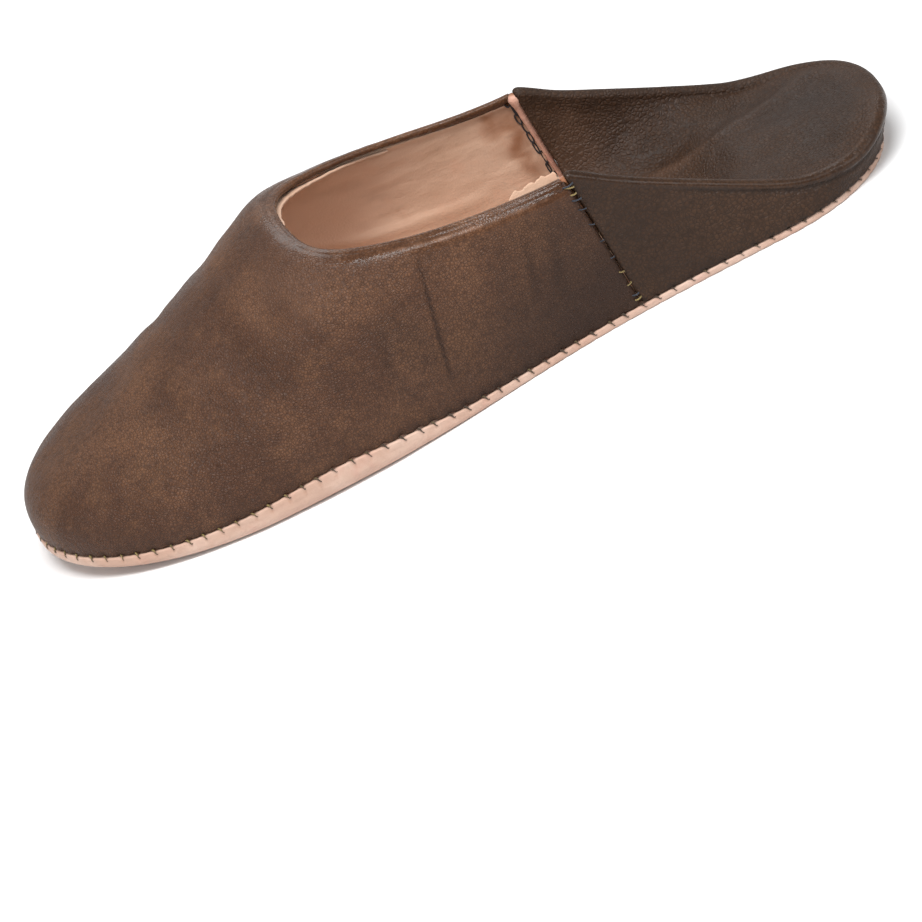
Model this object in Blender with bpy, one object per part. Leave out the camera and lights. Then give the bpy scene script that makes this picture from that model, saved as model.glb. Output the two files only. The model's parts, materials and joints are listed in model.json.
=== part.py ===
"""Left babouche slipper with its heel folded down: outsole, insole, vamp and folded heel quarter.

Metres. +X points to the toe, +Y to the lateral (outer) side, +Z up. The sole rests on Z = 0.
Every piece is swept over stations round the sole's outline. A station is a vertical plane from
a point of the spine, the centre line of the foot, out to a point of the outline.
"""
import math
from collections import namedtuple

import bmesh
import bpy

# Plan of the sole. ROUND is how far an end's rounding reaches, PIVOT where its stations fan from.
SOLE_LENGTH = 0.2797
HEEL_WIDTH = 0.076
WAIST_WIDTH = 0.078
BALL_WIDTH = 0.102
HEEL_ROUND = 0.042
TOE_ROUND = 0.090
HEEL_SQUARENESS = 2.2
TOE_SQUARENESS = 2.3
HEEL_PIVOT = 0.038
TOE_PIVOT = 0.048

# Sole and insole
SOLE_THICKNESS = 0.0020
SOLE_EDGE_HEIGHT = 0.0022
FOREFOOT_EDGE_HEIGHT = 0.0084
SOLE_EDGE_RADIUS = 0.0006
SOLE_SHELF = 0.0034
TOE_SPRING = 0.0060
TOE_SPRING_LENGTH = 0.070
INSOLE_THICKNESS = 0.0046
INSOLE_ROUND = 0.0012
CLEARANCE = 0.0003

# Vamp
VAMP_WALL = 0.0022
VAMP_INSET = 0.0006
VAMP_BULGE = 0.0026
TOE_BOX_HEIGHT = 0.041
INSTEP_HEIGHT = 0.0672
LAST_HEIGHT = 0.090
SEAM_HEIGHT = 0.050
THROAT_FROM_TOE = 0.108
BROW_ROUND = 0.010
LATERAL_DIP = 0.0034
MEDIAL_DIP = 0.0012
DIP_REACH = 0.007
COLLAR_FALL = 1.50
SEAM_FROM_HEEL = 0.0887
SEAM_SLANT = 0.0045
SLANT_REACH = 0.060
SEAM_GAP = 0.0010

# Heel quarter, folded down over the insole
QUARTER_LEATHER = 0.0016
FOLD_RADIUS = 0.0022
QUARTER_RISE = 0.0005
HEEL_FOLD_HEIGHT = 0.0146
FLAP_TUCK = 0.0030
FLAP_GAP = 0.0004
FLAP_DOME = 0.0064
DOME_FROM_HEEL = 0.067
HEEL_OVERHANG = 0.0008

Width = namedtuple("Width", "along full lateral")
WIDTHS = (
    Width(along=0.14, full=HEEL_WIDTH, lateral=0.500),
    Width(along=0.36, full=WAIST_WIDTH, lateral=0.505),
    Width(along=0.68, full=BALL_WIDTH, lateral=0.515),
)

# flare: 0 where the sole's side is SOLE_EDGE_HEIGHT high, 1 where it is FOREFOOT_EDGE_HEIGHT
Side = namedtuple("Side", "along flare")
SIDES = (
    Side(along=0.36, flare=0.00),
    Side(along=0.52, flare=0.20),
    Side(along=0.60, flare=0.66),
    Side(along=0.68, flare=1.00),
    Side(along=0.80, flare=0.62),
    Side(along=0.90, flare=0.34),
    Side(along=0.97, flare=0.26),
)

# Shape of the vamp's sections. bulge: share of VAMP_BULGE. fullness: share of the height at
# which the side leans over. shoulder: share of the half width out to which the top is flat.
Section = namedtuple("Section", "along bulge fullness shoulder")
SECTIONS = (
    Section(along=0.33, bulge=0.00, fullness=0.60, shoulder=0.90),
    Section(along=0.60, bulge=0.60, fullness=0.54, shoulder=0.86),
    Section(along=0.70, bulge=0.80, fullness=0.49, shoulder=0.58),
    Section(along=0.83, bulge=1.00, fullness=0.46, shoulder=0.60),
)

# back: share of the way from the seam to the heel's end. height: 1 where the fold is as high
# as the corner at the seam, 0 where it is HEEL_FOLD_HEIGHT. steep: how far the inner layer
# drops before it turns, as a share of its drop. spread: how far out it meets the flap's middle.
# lean: how far the wall leans in, below 0 where it stands out over the sole. turn: how far the
# leather turns over the fold, in degrees. drop: how much lower the fold is on the lateral side.
Fold = namedtuple("Fold", "back height steep spread lean turn drop")
FOLDS = (
    Fold(back=0.00, height=0.990, steep=0.80, spread=0.86, lean=0.0028, turn=180, drop=0.0000),
    Fold(back=0.03, height=0.985, steep=0.78, spread=0.85, lean=0.0028, turn=180, drop=0.0000),
    Fold(back=0.13, height=0.800, steep=0.66, spread=0.76, lean=0.0028, turn=180, drop=0.0008),
    Fold(back=0.24, height=0.635, steep=0.55, spread=0.67, lean=0.0029, turn=180, drop=0.0022),
    Fold(back=0.44, height=0.345, steep=0.44, spread=0.60, lean=0.0028, turn=180, drop=0.0034),
    Fold(back=0.60, height=0.135, steep=0.40, spread=0.58, lean=0.0021, turn=178, drop=0.0036),
    Fold(back=0.72, height=0.045, steep=0.40, spread=0.57, lean=0.0003, turn=165, drop=0.0036),
    Fold(back=0.86, height=0.005, steep=0.40, spread=0.55, lean=-0.0027, turn=135, drop=0.0030),
    Fold(back=1.00, height=0.000, steep=0.40, spread=0.50, lean=-0.0044, turn=110, drop=0.0000),
)

CAP_STEPS = 9
SIDE_STEPS = 9
COLLAR_STEPS = 11
SOLE_STEPS = 15
QUARTER_STEPS = 8
VAMP_COLUMNS = 20
WALL_COLUMNS = 5
FOLD_COLUMNS = 5
FLAP_COLUMNS = 9
WELD = 1e-6

HEEL_END = -SOLE_LENGTH / 2
TOE_END = SOLE_LENGTH / 2
HEEL_CENTRE = HEEL_END + HEEL_PIVOT
TOE_CENTRE = TOE_END - TOE_PIVOT
THROAT = TOE_END - THROAT_FROM_TOE
SEAM = HEEL_END + SEAM_FROM_HEEL
DOME = HEEL_END + DOME_FROM_HEEL
INSOLE_BASE = SOLE_THICKNESS + CLEARANCE
INSOLE_TOP = INSOLE_BASE + INSOLE_THICKNESS
FLAP_FLOOR = INSOLE_TOP + FLAP_GAP + QUARTER_LEATHER


def through(rows, at):
    """Value at a place on a smooth curve through (place, value) rows, level at both ends."""
    if at <= rows[0][0]:
        return rows[0][1]
    if at >= rows[-1][0]:
        return rows[-1][1]
    k = max(i for i, row in enumerate(rows) if row[0] <= at)

    def slope(i):
        if i in (0, len(rows) - 1):
            return 0.0
        return (rows[i + 1][1] - rows[i - 1][1]) / (rows[i + 1][0] - rows[i - 1][0])

    (a, va), (b, vb) = rows[k], rows[k + 1]
    u = (at - a) / (b - a)
    return (
        (2 * u**3 - 3 * u**2 + 1) * va
        + (u**3 - 2 * u**2 + u) * (b - a) * slope(k)
        + (3 * u**2 - 2 * u**3) * vb
        + (u**3 - u**2) * (b - a) * slope(k + 1)
    )


def column(table, place, value):
    """Two named columns of a table as (place, value) rows."""
    return [(getattr(row, place), getattr(row, value)) for row in table]


def ease(share):
    share = min(max(share, 0.0), 1.0)
    return share * share * (3 - 2 * share)


def cap(distance, reach, squareness):
    """Share of the full width at a distance from a rounded end."""
    if distance >= reach:
        return 1.0
    return (1 - (1 - max(distance, 0.0) / reach) ** squareness) ** (1 / squareness)


def half_width(x, side):
    along = (x - HEEL_END) / SOLE_LENGTH
    full = through(column(WIDTHS, "along", "full"), along)
    lateral = through(column(WIDTHS, "along", "lateral"), along)
    half = full * (lateral if side > 0 else 1 - lateral)
    heel = cap(x - HEEL_END, HEEL_ROUND, HEEL_SQUARENESS)
    toe = cap(TOE_END - x, TOE_ROUND, TOE_SQUARENESS)
    return half * heel * toe


def edge_height(x):
    """Height of the sole's side, where the upper is sewn on."""
    flare = through(column(SIDES, "along", "flare"), (x - HEEL_END) / SOLE_LENGTH)
    return SOLE_EDGE_HEIGHT + flare * (FOREFOOT_EDGE_HEIGHT - SOLE_EDGE_HEIGHT)


def toe_rise(x):
    share = max(0.0, (x - (TOE_END - TOE_SPRING_LENGTH)) / TOE_SPRING_LENGTH)
    return TOE_SPRING * share**2


class Station:
    """A vertical plane from the spine out to the sole's outline."""

    def __init__(self, x, side):
        edge_x, edge_y = x, side * half_width(x, side)
        self.x = x
        self.spine = min(max(x, HEEL_CENTRE), TOE_CENTRE)
        self.reach = math.hypot(edge_x - self.spine, edge_y)
        self.out = ((edge_x - self.spine) / self.reach, edge_y / self.reach)
        self.edge = edge_height(x)

    def point(self, reach, height):
        x = self.spine + self.out[0] * reach
        slant = SEAM_SLANT * ease(1 - abs(x - SEAM) / SLANT_REACH)
        lift = min(height / SEAM_HEIGHT, 1.0)
        return (x + slant * lift, self.out[1] * reach, height + toe_rise(x))


def toe_places():
    """X of the stations round one side of the toe, from beside its pivot to its tip."""
    turns = [math.pi / 2 * k / CAP_STEPS for k in range(CAP_STEPS + 1)]
    return [TOE_CENTRE + TOE_PIVOT * math.sin(a) for a in turns]


def heel_places():
    """X of the stations round one side of the heel, from its end to beside its pivot."""
    turns = [math.pi / 2 * k / CAP_STEPS for k in range(CAP_STEPS + 1)]
    return [HEEL_CENTRE - HEEL_PIVOT * math.cos(a) for a in turns]


def evenly(start, end, steps):
    """Places from start up to, and not including, end."""
    return [start + (end - start) * k / steps for k in range(steps)]


def collar_places():
    """X of the stations along the collar, from the seam, closing up at the throat's front."""
    shares = [1 - k / COLLAR_STEPS for k in range(COLLAR_STEPS)]
    return [THROAT + (SEAM - THROAT) * share**1.6 for share in shares]


def instep_places():
    """X of the stations from the throat to the toe's pivot, closest together at the throat."""
    return [THROAT + (TOE_CENTRE - THROAT) * (k / SIDE_STEPS) ** 1.6 for k in range(SIDE_STEPS)]


def both_sides(places):
    """Stations from the first place on the lateral side, round the last one, and back."""
    lateral = [Station(x, 1) for x in places]
    medial = [Station(x, -1) for x in reversed(places[:-1])]
    return lateral + medial


def on_curve(curve, u):
    """The point of a cubic curve, given by four points, at a share of its way."""
    weights = ((1 - u) ** 3, 3 * u * (1 - u) ** 2, 3 * u**2 * (1 - u), u**3)
    return tuple(sum(w * spot[i] for w, spot in zip(weights, curve)) for i in (0, 1))


def bezier(p0, p1, p2, p3, count, end=1.0):
    """Points of a cubic curve up to a share of its way, both ends included."""
    return [on_curve((p0, p1, p2, p3), end * k / count) for k in range(count + 1)]


def way_up(curve, height):
    """The share of a rising curve's way at which it reaches a height."""
    low, high = 0.0, 1.0
    for _ in range(40):
        middle = (low + high) / 2
        if on_curve(curve, middle)[1] < height:
            low = middle
        else:
            high = middle
    return low


def arc(centre, radius, start, end, steps):
    """Points of an arc in a station's plane. Angles are in degrees, from outwards to up."""
    angles = [math.radians(start + (end - start) * k / steps) for k in range(steps + 1)]
    return [(centre[0] + radius * math.cos(a), centre[1] + radius * math.sin(a)) for a in angles]


def sole_profile(station):
    """From the middle of the tread, round the edge, to the middle of the top."""
    edge, reach = station.edge, station.reach
    tread_round = edge * 0.56
    inner = reach - SOLE_SHELF
    return (
        [(0.0, 0.0), (reach * 0.5, 0.0)]
        + arc((reach - tread_round, tread_round), tread_round, -90, 0, 4)
        + arc((reach - SOLE_EDGE_RADIUS, edge - SOLE_EDGE_RADIUS), SOLE_EDGE_RADIUS, 0, 90, 3)
        + [(inner, edge), (inner - SOLE_EDGE_RADIUS, SOLE_THICKNESS)]
        + [(reach * 0.5, SOLE_THICKNESS), (0.0, SOLE_THICKNESS)]
    )


def insole_profile(station):
    reach = station.reach - SOLE_SHELF - SOLE_EDGE_RADIUS - CLEARANCE
    base = [(0.0, INSOLE_BASE), (reach * 0.5, INSOLE_BASE), (reach, INSOLE_BASE)]
    shoulder = arc((reach - INSOLE_ROUND, INSOLE_TOP - INSOLE_ROUND), INSOLE_ROUND, 0, 90, 3)
    return base + shoulder + [(reach * 0.5, INSOLE_TOP), (0.0, INSOLE_TOP)]


def crown_height(x):
    """Height of the last's crown, which levels out at the throat and runs on over the collar."""
    if x < THROAT:
        return INSTEP_HEIGHT + (LAST_HEIGHT - INSTEP_HEIGHT) * ((THROAT - x) / (THROAT - SEAM)) ** 2
    slope = crown_slope()
    ahead = x - THROAT
    if ahead < BROW_ROUND:
        return INSTEP_HEIGHT - slope * ahead**2 / (2 * BROW_ROUND)
    return INSTEP_HEIGHT - slope * (ahead - BROW_ROUND / 2)


def crown_slope():
    return (INSTEP_HEIGHT - TOE_BOX_HEIGHT) / (TOE_CENTRE - THROAT - BROW_ROUND / 2)


def collar_height(x, side):
    """Height of the collar's edge, which dips round the throat and then falls to the seam."""
    dip = LATERAL_DIP if side > 0 else MEDIAL_DIP
    dipped = dip * (1 - math.exp(-2 * (THROAT - x) / DIP_REACH))
    share = (THROAT - x) / (THROAT - SEAM)
    fall = (INSTEP_HEIGHT - dip - SEAM_HEIGHT) * (1 - (1 - share) ** COLLAR_FALL)
    return INSTEP_HEIGHT - dipped - fall


def vamp_profile(station):
    """Outer face of the vamp, from the sole up to the crown, or to where the collar cuts it."""
    along = (station.spine - HEEL_END) / SOLE_LENGTH
    bulge, fullness, shoulder = (
        through(column(SECTIONS, "along", name), along) for name in Section._fields[1:]
    )
    base = (station.reach - VAMP_INSET, station.edge + CLEARANCE)
    crown = crown_height(station.spine)
    rise = crown - base[1]
    low = (base[0] + VAMP_BULGE * bulge, base[1] + rise * fullness)
    drop = crown_slope() * base[0] * shoulder * max(station.out[0], 0.0)
    curve = (base, low, (base[0] * shoulder, crown - drop), (0.0, crown))
    if station.spine >= THROAT:
        return bezier(*curve, VAMP_COLUMNS)
    return bezier(*curve, VAMP_COLUMNS, way_up(curve, collar_height(station.x, station.out[1])))


def quarter_profile(station):
    """Face side of the heel leather: up the wall, over the fold and down to the insole."""
    back = (SEAM - station.x) / (SEAM - HEEL_END)
    fold = Fold(back, *(through(column(FOLDS, "back", name), back) for name in Fold._fields[1:]))
    corner = SEAM_HEIGHT + QUARTER_RISE
    drop = fold.drop if station.out[1] > 0 else 0.0
    top = HEEL_FOLD_HEIGHT + (corner - HEEL_FOLD_HEIGHT) * fold.height - drop
    inset = VAMP_INSET - (VAMP_INSET + HEEL_OVERHANG) * ease(back)
    base = (station.reach - inset, station.edge + CLEARANCE)
    outside = base[0] - fold.lean
    centre = (outside - FOLD_RADIUS, top - FOLD_RADIUS)
    floor = FLAP_FLOOR + FLAP_DOME * ease((DOME - station.spine) / (DOME - HEEL_CENTRE))
    low = (base[0], base[1] + (centre[1] - base[1]) * 0.4)
    high = (outside, centre[1] - (centre[1] - base[1]) * 0.3)
    turned = arc(centre, FOLD_RADIUS, 0, fold.turn, FOLD_COLUMNS)
    inner = turned[-1]
    tuck = max((inner[1] - floor) * fold.steep, FLAP_TUCK)
    heading = math.radians(fold.turn)
    down = (inner[0] - tuck * math.sin(heading), inner[1] + tuck * math.cos(heading))
    along = (inner[0] * fold.spread, floor)
    return (
        bezier(base, low, high, (outside, centre[1]), WALL_COLUMNS)[:-1]
        + turned
        + bezier(inner, down, along, (0.0, floor), FLAP_COLUMNS)[1:]
    )


def material(name, colour, roughness):
    made = bpy.data.materials.new(name)
    made.use_nodes = True
    shader = made.node_tree.nodes["Principled BSDF"]
    shader.inputs["Base Color"].default_value = (*colour, 1.0)
    shader.inputs["Roughness"].default_value = roughness
    shader.inputs["Metallic"].default_value = 0.0
    return made


def swept(name, stations, profile, finish):
    """An object whose mesh runs along each station's profile, welded along the spine."""
    rows = [[station.point(*spot) for spot in profile(station)] for station in stations]
    mesh = bpy.data.meshes.new(name)
    shape = bmesh.new()
    grid = [[shape.verts.new(spot) for spot in row] for row in rows]
    for row, following in zip(grid, grid[1:]):
        for k in range(len(row) - 1):
            shape.faces.new((row[k], row[k + 1], following[k + 1], following[k]))
    bmesh.ops.remove_doubles(shape, verts=shape.verts, dist=WELD)
    shape.to_mesh(mesh)
    shape.free()
    mesh.shade_smooth()
    mesh.set_sharp_from_angle(angle=math.radians(40))
    mesh.materials.append(finish)
    made = bpy.data.objects.new(name, mesh)
    bpy.context.scene.collection.objects.link(made)
    return made


def thicken(sheet, wall):
    """Turns an open sheet into a closed wall, grown inwards from it."""
    shell = sheet.modifiers.new("wall", "SOLIDIFY")
    shell.thickness = wall
    shell.offset = -1.0
    shell.use_even_offset = True
    shell.use_quality_normals = True


def clear_scene():
    for old in list(bpy.data.objects):
        bpy.data.objects.remove(old)


def centre_plan(pieces):
    """Moves all the pieces together, so that their common plan is centred on the origin."""
    spots = [vertex.co for piece in pieces for vertex in piece.data.vertices]
    middle = [(min(s[i] for s in spots) + max(s[i] for s in spots)) / 2 for i in (0, 1)]
    for spot in spots:
        spot.x -= middle[0]
        spot.y -= middle[1]


def build():
    tan = material("natural_leather", (0.62, 0.36, 0.25), 0.6)
    lining = material("lining_leather", (0.55, 0.31, 0.20), 0.65)
    brown = material("brown_leather", (0.085, 0.048, 0.030), 0.42)

    sides = evenly(HEEL_CENTRE, TOE_CENTRE, SOLE_STEPS)
    all_round = both_sides(heel_places()[:-1] + sides + toe_places())
    outsole = swept("outsole", all_round, sole_profile, tan)
    insole = swept("insole", all_round, insole_profile, lining)

    vamp_places = collar_places() + instep_places() + toe_places()
    vamp = swept("vamp", both_sides(vamp_places), vamp_profile, brown)
    thicken(vamp, VAMP_WALL)

    quarter_places = evenly(SEAM - SEAM_GAP, HEEL_CENTRE, QUARTER_STEPS) + heel_places()[::-1]
    quarter_stations = both_sides(quarter_places)[::-1]
    quarter = swept("heel_quarter", quarter_stations, quarter_profile, brown)
    thicken(quarter, QUARTER_LEATHER)
    centre_plan([outsole, insole, vamp, quarter])


clear_scene()
build()
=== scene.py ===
"""Looks of the left babouche slipper with its heel folded down.

Metres. +X points to the toe, +Y to the lateral side, +Z up, as in the frame. The leathers are
swept over stations round the sole's outline with the same sizes as the solids that they stand
for, only finer, and then get their creases, turned edges, seams and stitches.
"""
import json
import math
import random
from collections import namedtuple

import bpy
import numpy as np
from mathutils import Matrix, Vector, noise
from mathutils.bvhtree import BVHTree

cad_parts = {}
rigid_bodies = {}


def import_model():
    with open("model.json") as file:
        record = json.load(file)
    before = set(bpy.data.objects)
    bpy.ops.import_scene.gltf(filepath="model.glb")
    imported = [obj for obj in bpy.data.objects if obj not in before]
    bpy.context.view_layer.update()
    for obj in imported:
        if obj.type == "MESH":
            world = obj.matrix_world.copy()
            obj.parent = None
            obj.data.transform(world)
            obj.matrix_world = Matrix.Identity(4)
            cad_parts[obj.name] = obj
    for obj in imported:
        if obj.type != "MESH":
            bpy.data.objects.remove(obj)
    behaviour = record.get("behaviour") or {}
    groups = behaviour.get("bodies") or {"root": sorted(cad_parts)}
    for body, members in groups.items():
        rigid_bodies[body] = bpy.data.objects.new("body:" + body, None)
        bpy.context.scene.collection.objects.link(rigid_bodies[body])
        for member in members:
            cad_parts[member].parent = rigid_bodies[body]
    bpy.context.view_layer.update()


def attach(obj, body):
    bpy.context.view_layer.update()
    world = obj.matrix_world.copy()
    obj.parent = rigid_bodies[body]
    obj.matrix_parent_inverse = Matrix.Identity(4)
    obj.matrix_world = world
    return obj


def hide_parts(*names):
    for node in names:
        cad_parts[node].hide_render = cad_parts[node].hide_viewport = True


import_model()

# Plan of the sole
SOLE_LENGTH = 0.2797
HEEL_WIDTH = 0.076
WAIST_WIDTH = 0.078
BALL_WIDTH = 0.102
HEEL_ROUND = 0.042
TOE_ROUND = 0.090
HEEL_SQUARENESS = 2.2
TOE_SQUARENESS = 2.3
HEEL_PIVOT = 0.038
TOE_PIVOT = 0.048

# Sole and insole
SOLE_THICKNESS = 0.0020
SOLE_EDGE_HEIGHT = 0.0022
FOREFOOT_EDGE_HEIGHT = 0.0084
SOLE_EDGE_RADIUS = 0.0006
SOLE_SHELF = 0.0034
TOE_SPRING = 0.0060
TOE_SPRING_LENGTH = 0.070
INSOLE_THICKNESS = 0.0046
INSOLE_ROUND = 0.0012
CLEARANCE = 0.0003

# Vamp
VAMP_INSET = 0.0006
VAMP_BULGE = 0.0026
TOE_BOX_HEIGHT = 0.041
INSTEP_HEIGHT = 0.0672
LAST_HEIGHT = 0.090
SEAM_HEIGHT = 0.050
THROAT_FROM_TOE = 0.108
BROW_ROUND = 0.010
LATERAL_DIP = 0.0034
MEDIAL_DIP = 0.0012
DIP_REACH = 0.007
COLLAR_FALL = 1.50
SEAM_FROM_HEEL = 0.0887
SEAM_SLANT = 0.0045
SLANT_REACH = 0.060

# Heel quarter
QUARTER_LEATHER = 0.0016
FOLD_RADIUS = 0.0022
QUARTER_RISE = 0.0005
HEEL_FOLD_HEIGHT = 0.0146
FLAP_TUCK = 0.0030
FLAP_GAP = 0.0004
FLAP_DOME = 0.0064
DOME_FROM_HEEL = 0.067
HEEL_OVERHANG = 0.0008

Width = namedtuple("Width", "along full lateral")
WIDTHS = (
    Width(along=0.14, full=HEEL_WIDTH, lateral=0.500),
    Width(along=0.36, full=WAIST_WIDTH, lateral=0.505),
    Width(along=0.68, full=BALL_WIDTH, lateral=0.515),
)

Side = namedtuple("Side", "along flare")
SIDES = (
    Side(along=0.36, flare=0.00),
    Side(along=0.52, flare=0.20),
    Side(along=0.60, flare=0.66),
    Side(along=0.68, flare=1.00),
    Side(along=0.80, flare=0.62),
    Side(along=0.90, flare=0.34),
    Side(along=0.97, flare=0.26),
)

Section = namedtuple("Section", "along bulge fullness shoulder")
SECTIONS = (
    Section(along=0.33, bulge=0.00, fullness=0.60, shoulder=0.90),
    Section(along=0.60, bulge=0.60, fullness=0.54, shoulder=0.86),
    Section(along=0.70, bulge=0.80, fullness=0.49, shoulder=0.58),
    Section(along=0.83, bulge=1.00, fullness=0.46, shoulder=0.60),
)

Fold = namedtuple("Fold", "back height steep spread lean turn drop")
FOLDS = (
    Fold(back=0.00, height=0.990, steep=0.80, spread=0.86, lean=0.0028, turn=180, drop=0.0000),
    Fold(back=0.03, height=0.985, steep=0.78, spread=0.85, lean=0.0028, turn=180, drop=0.0000),
    Fold(back=0.13, height=0.800, steep=0.66, spread=0.76, lean=0.0028, turn=180, drop=0.0008),
    Fold(back=0.24, height=0.635, steep=0.55, spread=0.67, lean=0.0029, turn=180, drop=0.0022),
    Fold(back=0.44, height=0.345, steep=0.44, spread=0.60, lean=0.0028, turn=180, drop=0.0034),
    Fold(back=0.60, height=0.135, steep=0.40, spread=0.58, lean=0.0021, turn=178, drop=0.0036),
    Fold(back=0.72, height=0.045, steep=0.40, spread=0.57, lean=0.0003, turn=165, drop=0.0036),
    Fold(back=0.86, height=0.005, steep=0.40, spread=0.55, lean=-0.0027, turn=135, drop=0.0030),
    Fold(back=1.00, height=0.000, steep=0.40, spread=0.50, lean=-0.0044, turn=110, drop=0.0000),
)

# Leathers and edges
SKIN_THICKNESS = 0.0012
LINING_THICKNESS = 0.0009
LIP_WALL = 0.0020
LIP_ROUND = 0.0010
SKIN_TRIM = 0.0013
COLLAR_ROLL = 0.0015
COLLAR_ROLL_REACH = 0.0034
COLLAR_BEAD = 0.0009
COLLAR_BEAD_PLACE = 0.0044
COLLAR_BEAD_REACH = 0.0026
TURNED_FRONT = 0.0042
TURNED_SEAM = 0.0026
SEAM_OPENING = 0.0003
SEAM_TUCK = 0.0005
SEAM_TUCK_REACH = 0.00055
LINING_GAP = 0.0001
STRIP_WALL = 0.0008
STRIP_DEPTH = 0.0048

# Stitches
STITCH_PITCH = 0.0054
STITCH_PULL_REACH = 0.0013
# How far a leather stands out between the stitches, and how far a stitch draws it in
VAMP_PUFF = 0.00016
VAMP_PUCKER = 0.00062
QUARTER_PUFF = 0.00010
QUARTER_PUCKER = 0.00042
THREAD = 0.00034
STITCH_LEAN = -0.0007
SEAM_THREAD = 0.00025
CHAIN_THREAD = 0.00026
CHAIN_LINKS = 9

# Steps that the curves are drawn in
VAMP_COLUMNS = 78
WALL_COLUMNS = 34
FOLD_COLUMNS = 14
FLAP_COLUMNS = 64
EDGE_STEPS = 420

# The turned-in lower edges of the leathers: how far in from the wall, and how far over its foot
VAMP_FOOT = ((0.0016, 0.0003), (0.0010, 0.0000), (0.0004, 0.00005), (0.00012, 0.00035))
QUARTER_FOOT = ((0.0014, 0.0003), (0.0009, 0.0000), (0.0004, 0.00005), (0.00012, 0.00035))

HEEL_END = -SOLE_LENGTH / 2
TOE_END = SOLE_LENGTH / 2
HEEL_CENTRE = HEEL_END + HEEL_PIVOT
TOE_CENTRE = TOE_END - TOE_PIVOT
THROAT = TOE_END - THROAT_FROM_TOE
SEAM = HEEL_END + SEAM_FROM_HEEL
DOME = HEEL_END + DOME_FROM_HEEL
INSOLE_BASE = SOLE_THICKNESS + CLEARANCE
INSOLE_TOP = INSOLE_BASE + INSOLE_THICKNESS
FLAP_FLOOR = INSOLE_TOP + FLAP_GAP + QUARTER_LEATHER

chance = random.Random(41)


def through(rows, at):
    """Value at a place on a smooth curve through (place, value) rows, level at both ends."""
    if at <= rows[0][0]:
        return rows[0][1]
    if at >= rows[-1][0]:
        return rows[-1][1]
    k = max(i for i, row in enumerate(rows) if row[0] <= at)

    def slope(i):
        if i in (0, len(rows) - 1):
            return 0.0
        return (rows[i + 1][1] - rows[i - 1][1]) / (rows[i + 1][0] - rows[i - 1][0])

    (a, va), (b, vb) = rows[k], rows[k + 1]
    u = (at - a) / (b - a)
    return (
        (2 * u**3 - 3 * u**2 + 1) * va
        + (u**3 - 2 * u**2 + u) * (b - a) * slope(k)
        + (3 * u**2 - 2 * u**3) * vb
        + (u**3 - u**2) * (b - a) * slope(k + 1)
    )


def column(table, place, value):
    """Two named columns of a table as (place, value) rows."""
    return [(getattr(row, place), getattr(row, value)) for row in table]


def bell(value, width, centre=0.0):
    """1 at a centre, falling smoothly to 0 on both sides."""
    return np.exp(-(((value - centre) / width) ** 2))


def ramp(value, start, end):
    """0 up to a start, rising straight to 1 at an end."""
    return np.clip((value - start) / (end - start), 0, 1)


def ease(share):
    """0 to 1, level at both ends."""
    share = min(max(share, 0.0), 1.0)
    return share * share * (3 - 2 * share)


def cap(distance, reach, squareness):
    """Share of the full width at a distance from a rounded end."""
    if distance >= reach:
        return 1.0
    return (1 - (1 - max(distance, 0.0) / reach) ** squareness) ** (1 / squareness)


def half_width(x, side):
    along = (x - HEEL_END) / SOLE_LENGTH
    full = through(column(WIDTHS, "along", "full"), along)
    lateral = through(column(WIDTHS, "along", "lateral"), along)
    half = full * (lateral if side > 0 else 1 - lateral)
    heel = cap(x - HEEL_END, HEEL_ROUND, HEEL_SQUARENESS)
    toe = cap(TOE_END - x, TOE_ROUND, TOE_SQUARENESS)
    return half * heel * toe


# The frame's plan is centred on the origin, so the outline moves by this much.
MIDDLE_X = (FOLDS[-1].lean - HEEL_OVERHANG) / 2
MIDDLE_Y = sum(
    side * max(half_width(HEEL_END + SOLE_LENGTH * k / 400, side) for k in range(401)) / 2
    for side in (1, -1)
)


def edge_height(x):
    """Height of the sole's side, where the upper is sewn on."""
    flare = through(column(SIDES, "along", "flare"), (x - HEEL_END) / SOLE_LENGTH)
    return SOLE_EDGE_HEIGHT + flare * (FOREFOOT_EDGE_HEIGHT - SOLE_EDGE_HEIGHT)


def toe_rise(x):
    share = max(0.0, (x - (TOE_END - TOE_SPRING_LENGTH)) / TOE_SPRING_LENGTH)
    return TOE_SPRING * share**2


class Station:
    """A vertical plane from the spine out to the sole's outline."""

    def __init__(self, x, side):
        edge_x, edge_y = x, side * half_width(x, side)
        self.x = x
        self.side = side
        self.spine = min(max(x, HEEL_CENTRE), TOE_CENTRE)
        self.reach = math.hypot(edge_x - self.spine, edge_y)
        self.out = ((edge_x - self.spine) / self.reach, edge_y / self.reach)
        self.edge = edge_height(x)

    def point(self, reach, height):
        x = self.spine + self.out[0] * reach
        slant = SEAM_SLANT * ease(1 - abs(x - SEAM) / SLANT_REACH)
        lift = min(height / SEAM_HEIGHT, 1.0)
        y = self.out[1] * reach - MIDDLE_Y
        return (x + slant * lift - MIDDLE_X, y, height + toe_rise(x))


def on_curve(curve, u):
    """The point of a cubic curve, given by four points, at a share of its way."""
    weights = ((1 - u) ** 3, 3 * u * (1 - u) ** 2, 3 * u**2 * (1 - u), u**3)
    return tuple(sum(w * spot[i] for w, spot in zip(weights, curve)) for i in (0, 1))


def way_up(curve, height):
    """The share of a rising curve's way at which it reaches a height."""
    low, high = 0.0, 1.0
    for _ in range(40):
        middle = (low + high) / 2
        if on_curve(curve, middle)[1] < height:
            low = middle
        else:
            high = middle
    return low


def arc(centre, radius, start, end, steps):
    """Points of an arc in a station's plane. Angles are in degrees, from outwards to up."""
    angles = [math.radians(start + (end - start) * k / steps) for k in range(steps + 1)]
    return [(centre[0] + radius * math.cos(a), centre[1] + radius * math.sin(a)) for a in angles]


def crown_slope():
    return (INSTEP_HEIGHT - TOE_BOX_HEIGHT) / (TOE_CENTRE - THROAT - BROW_ROUND / 2)


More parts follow.
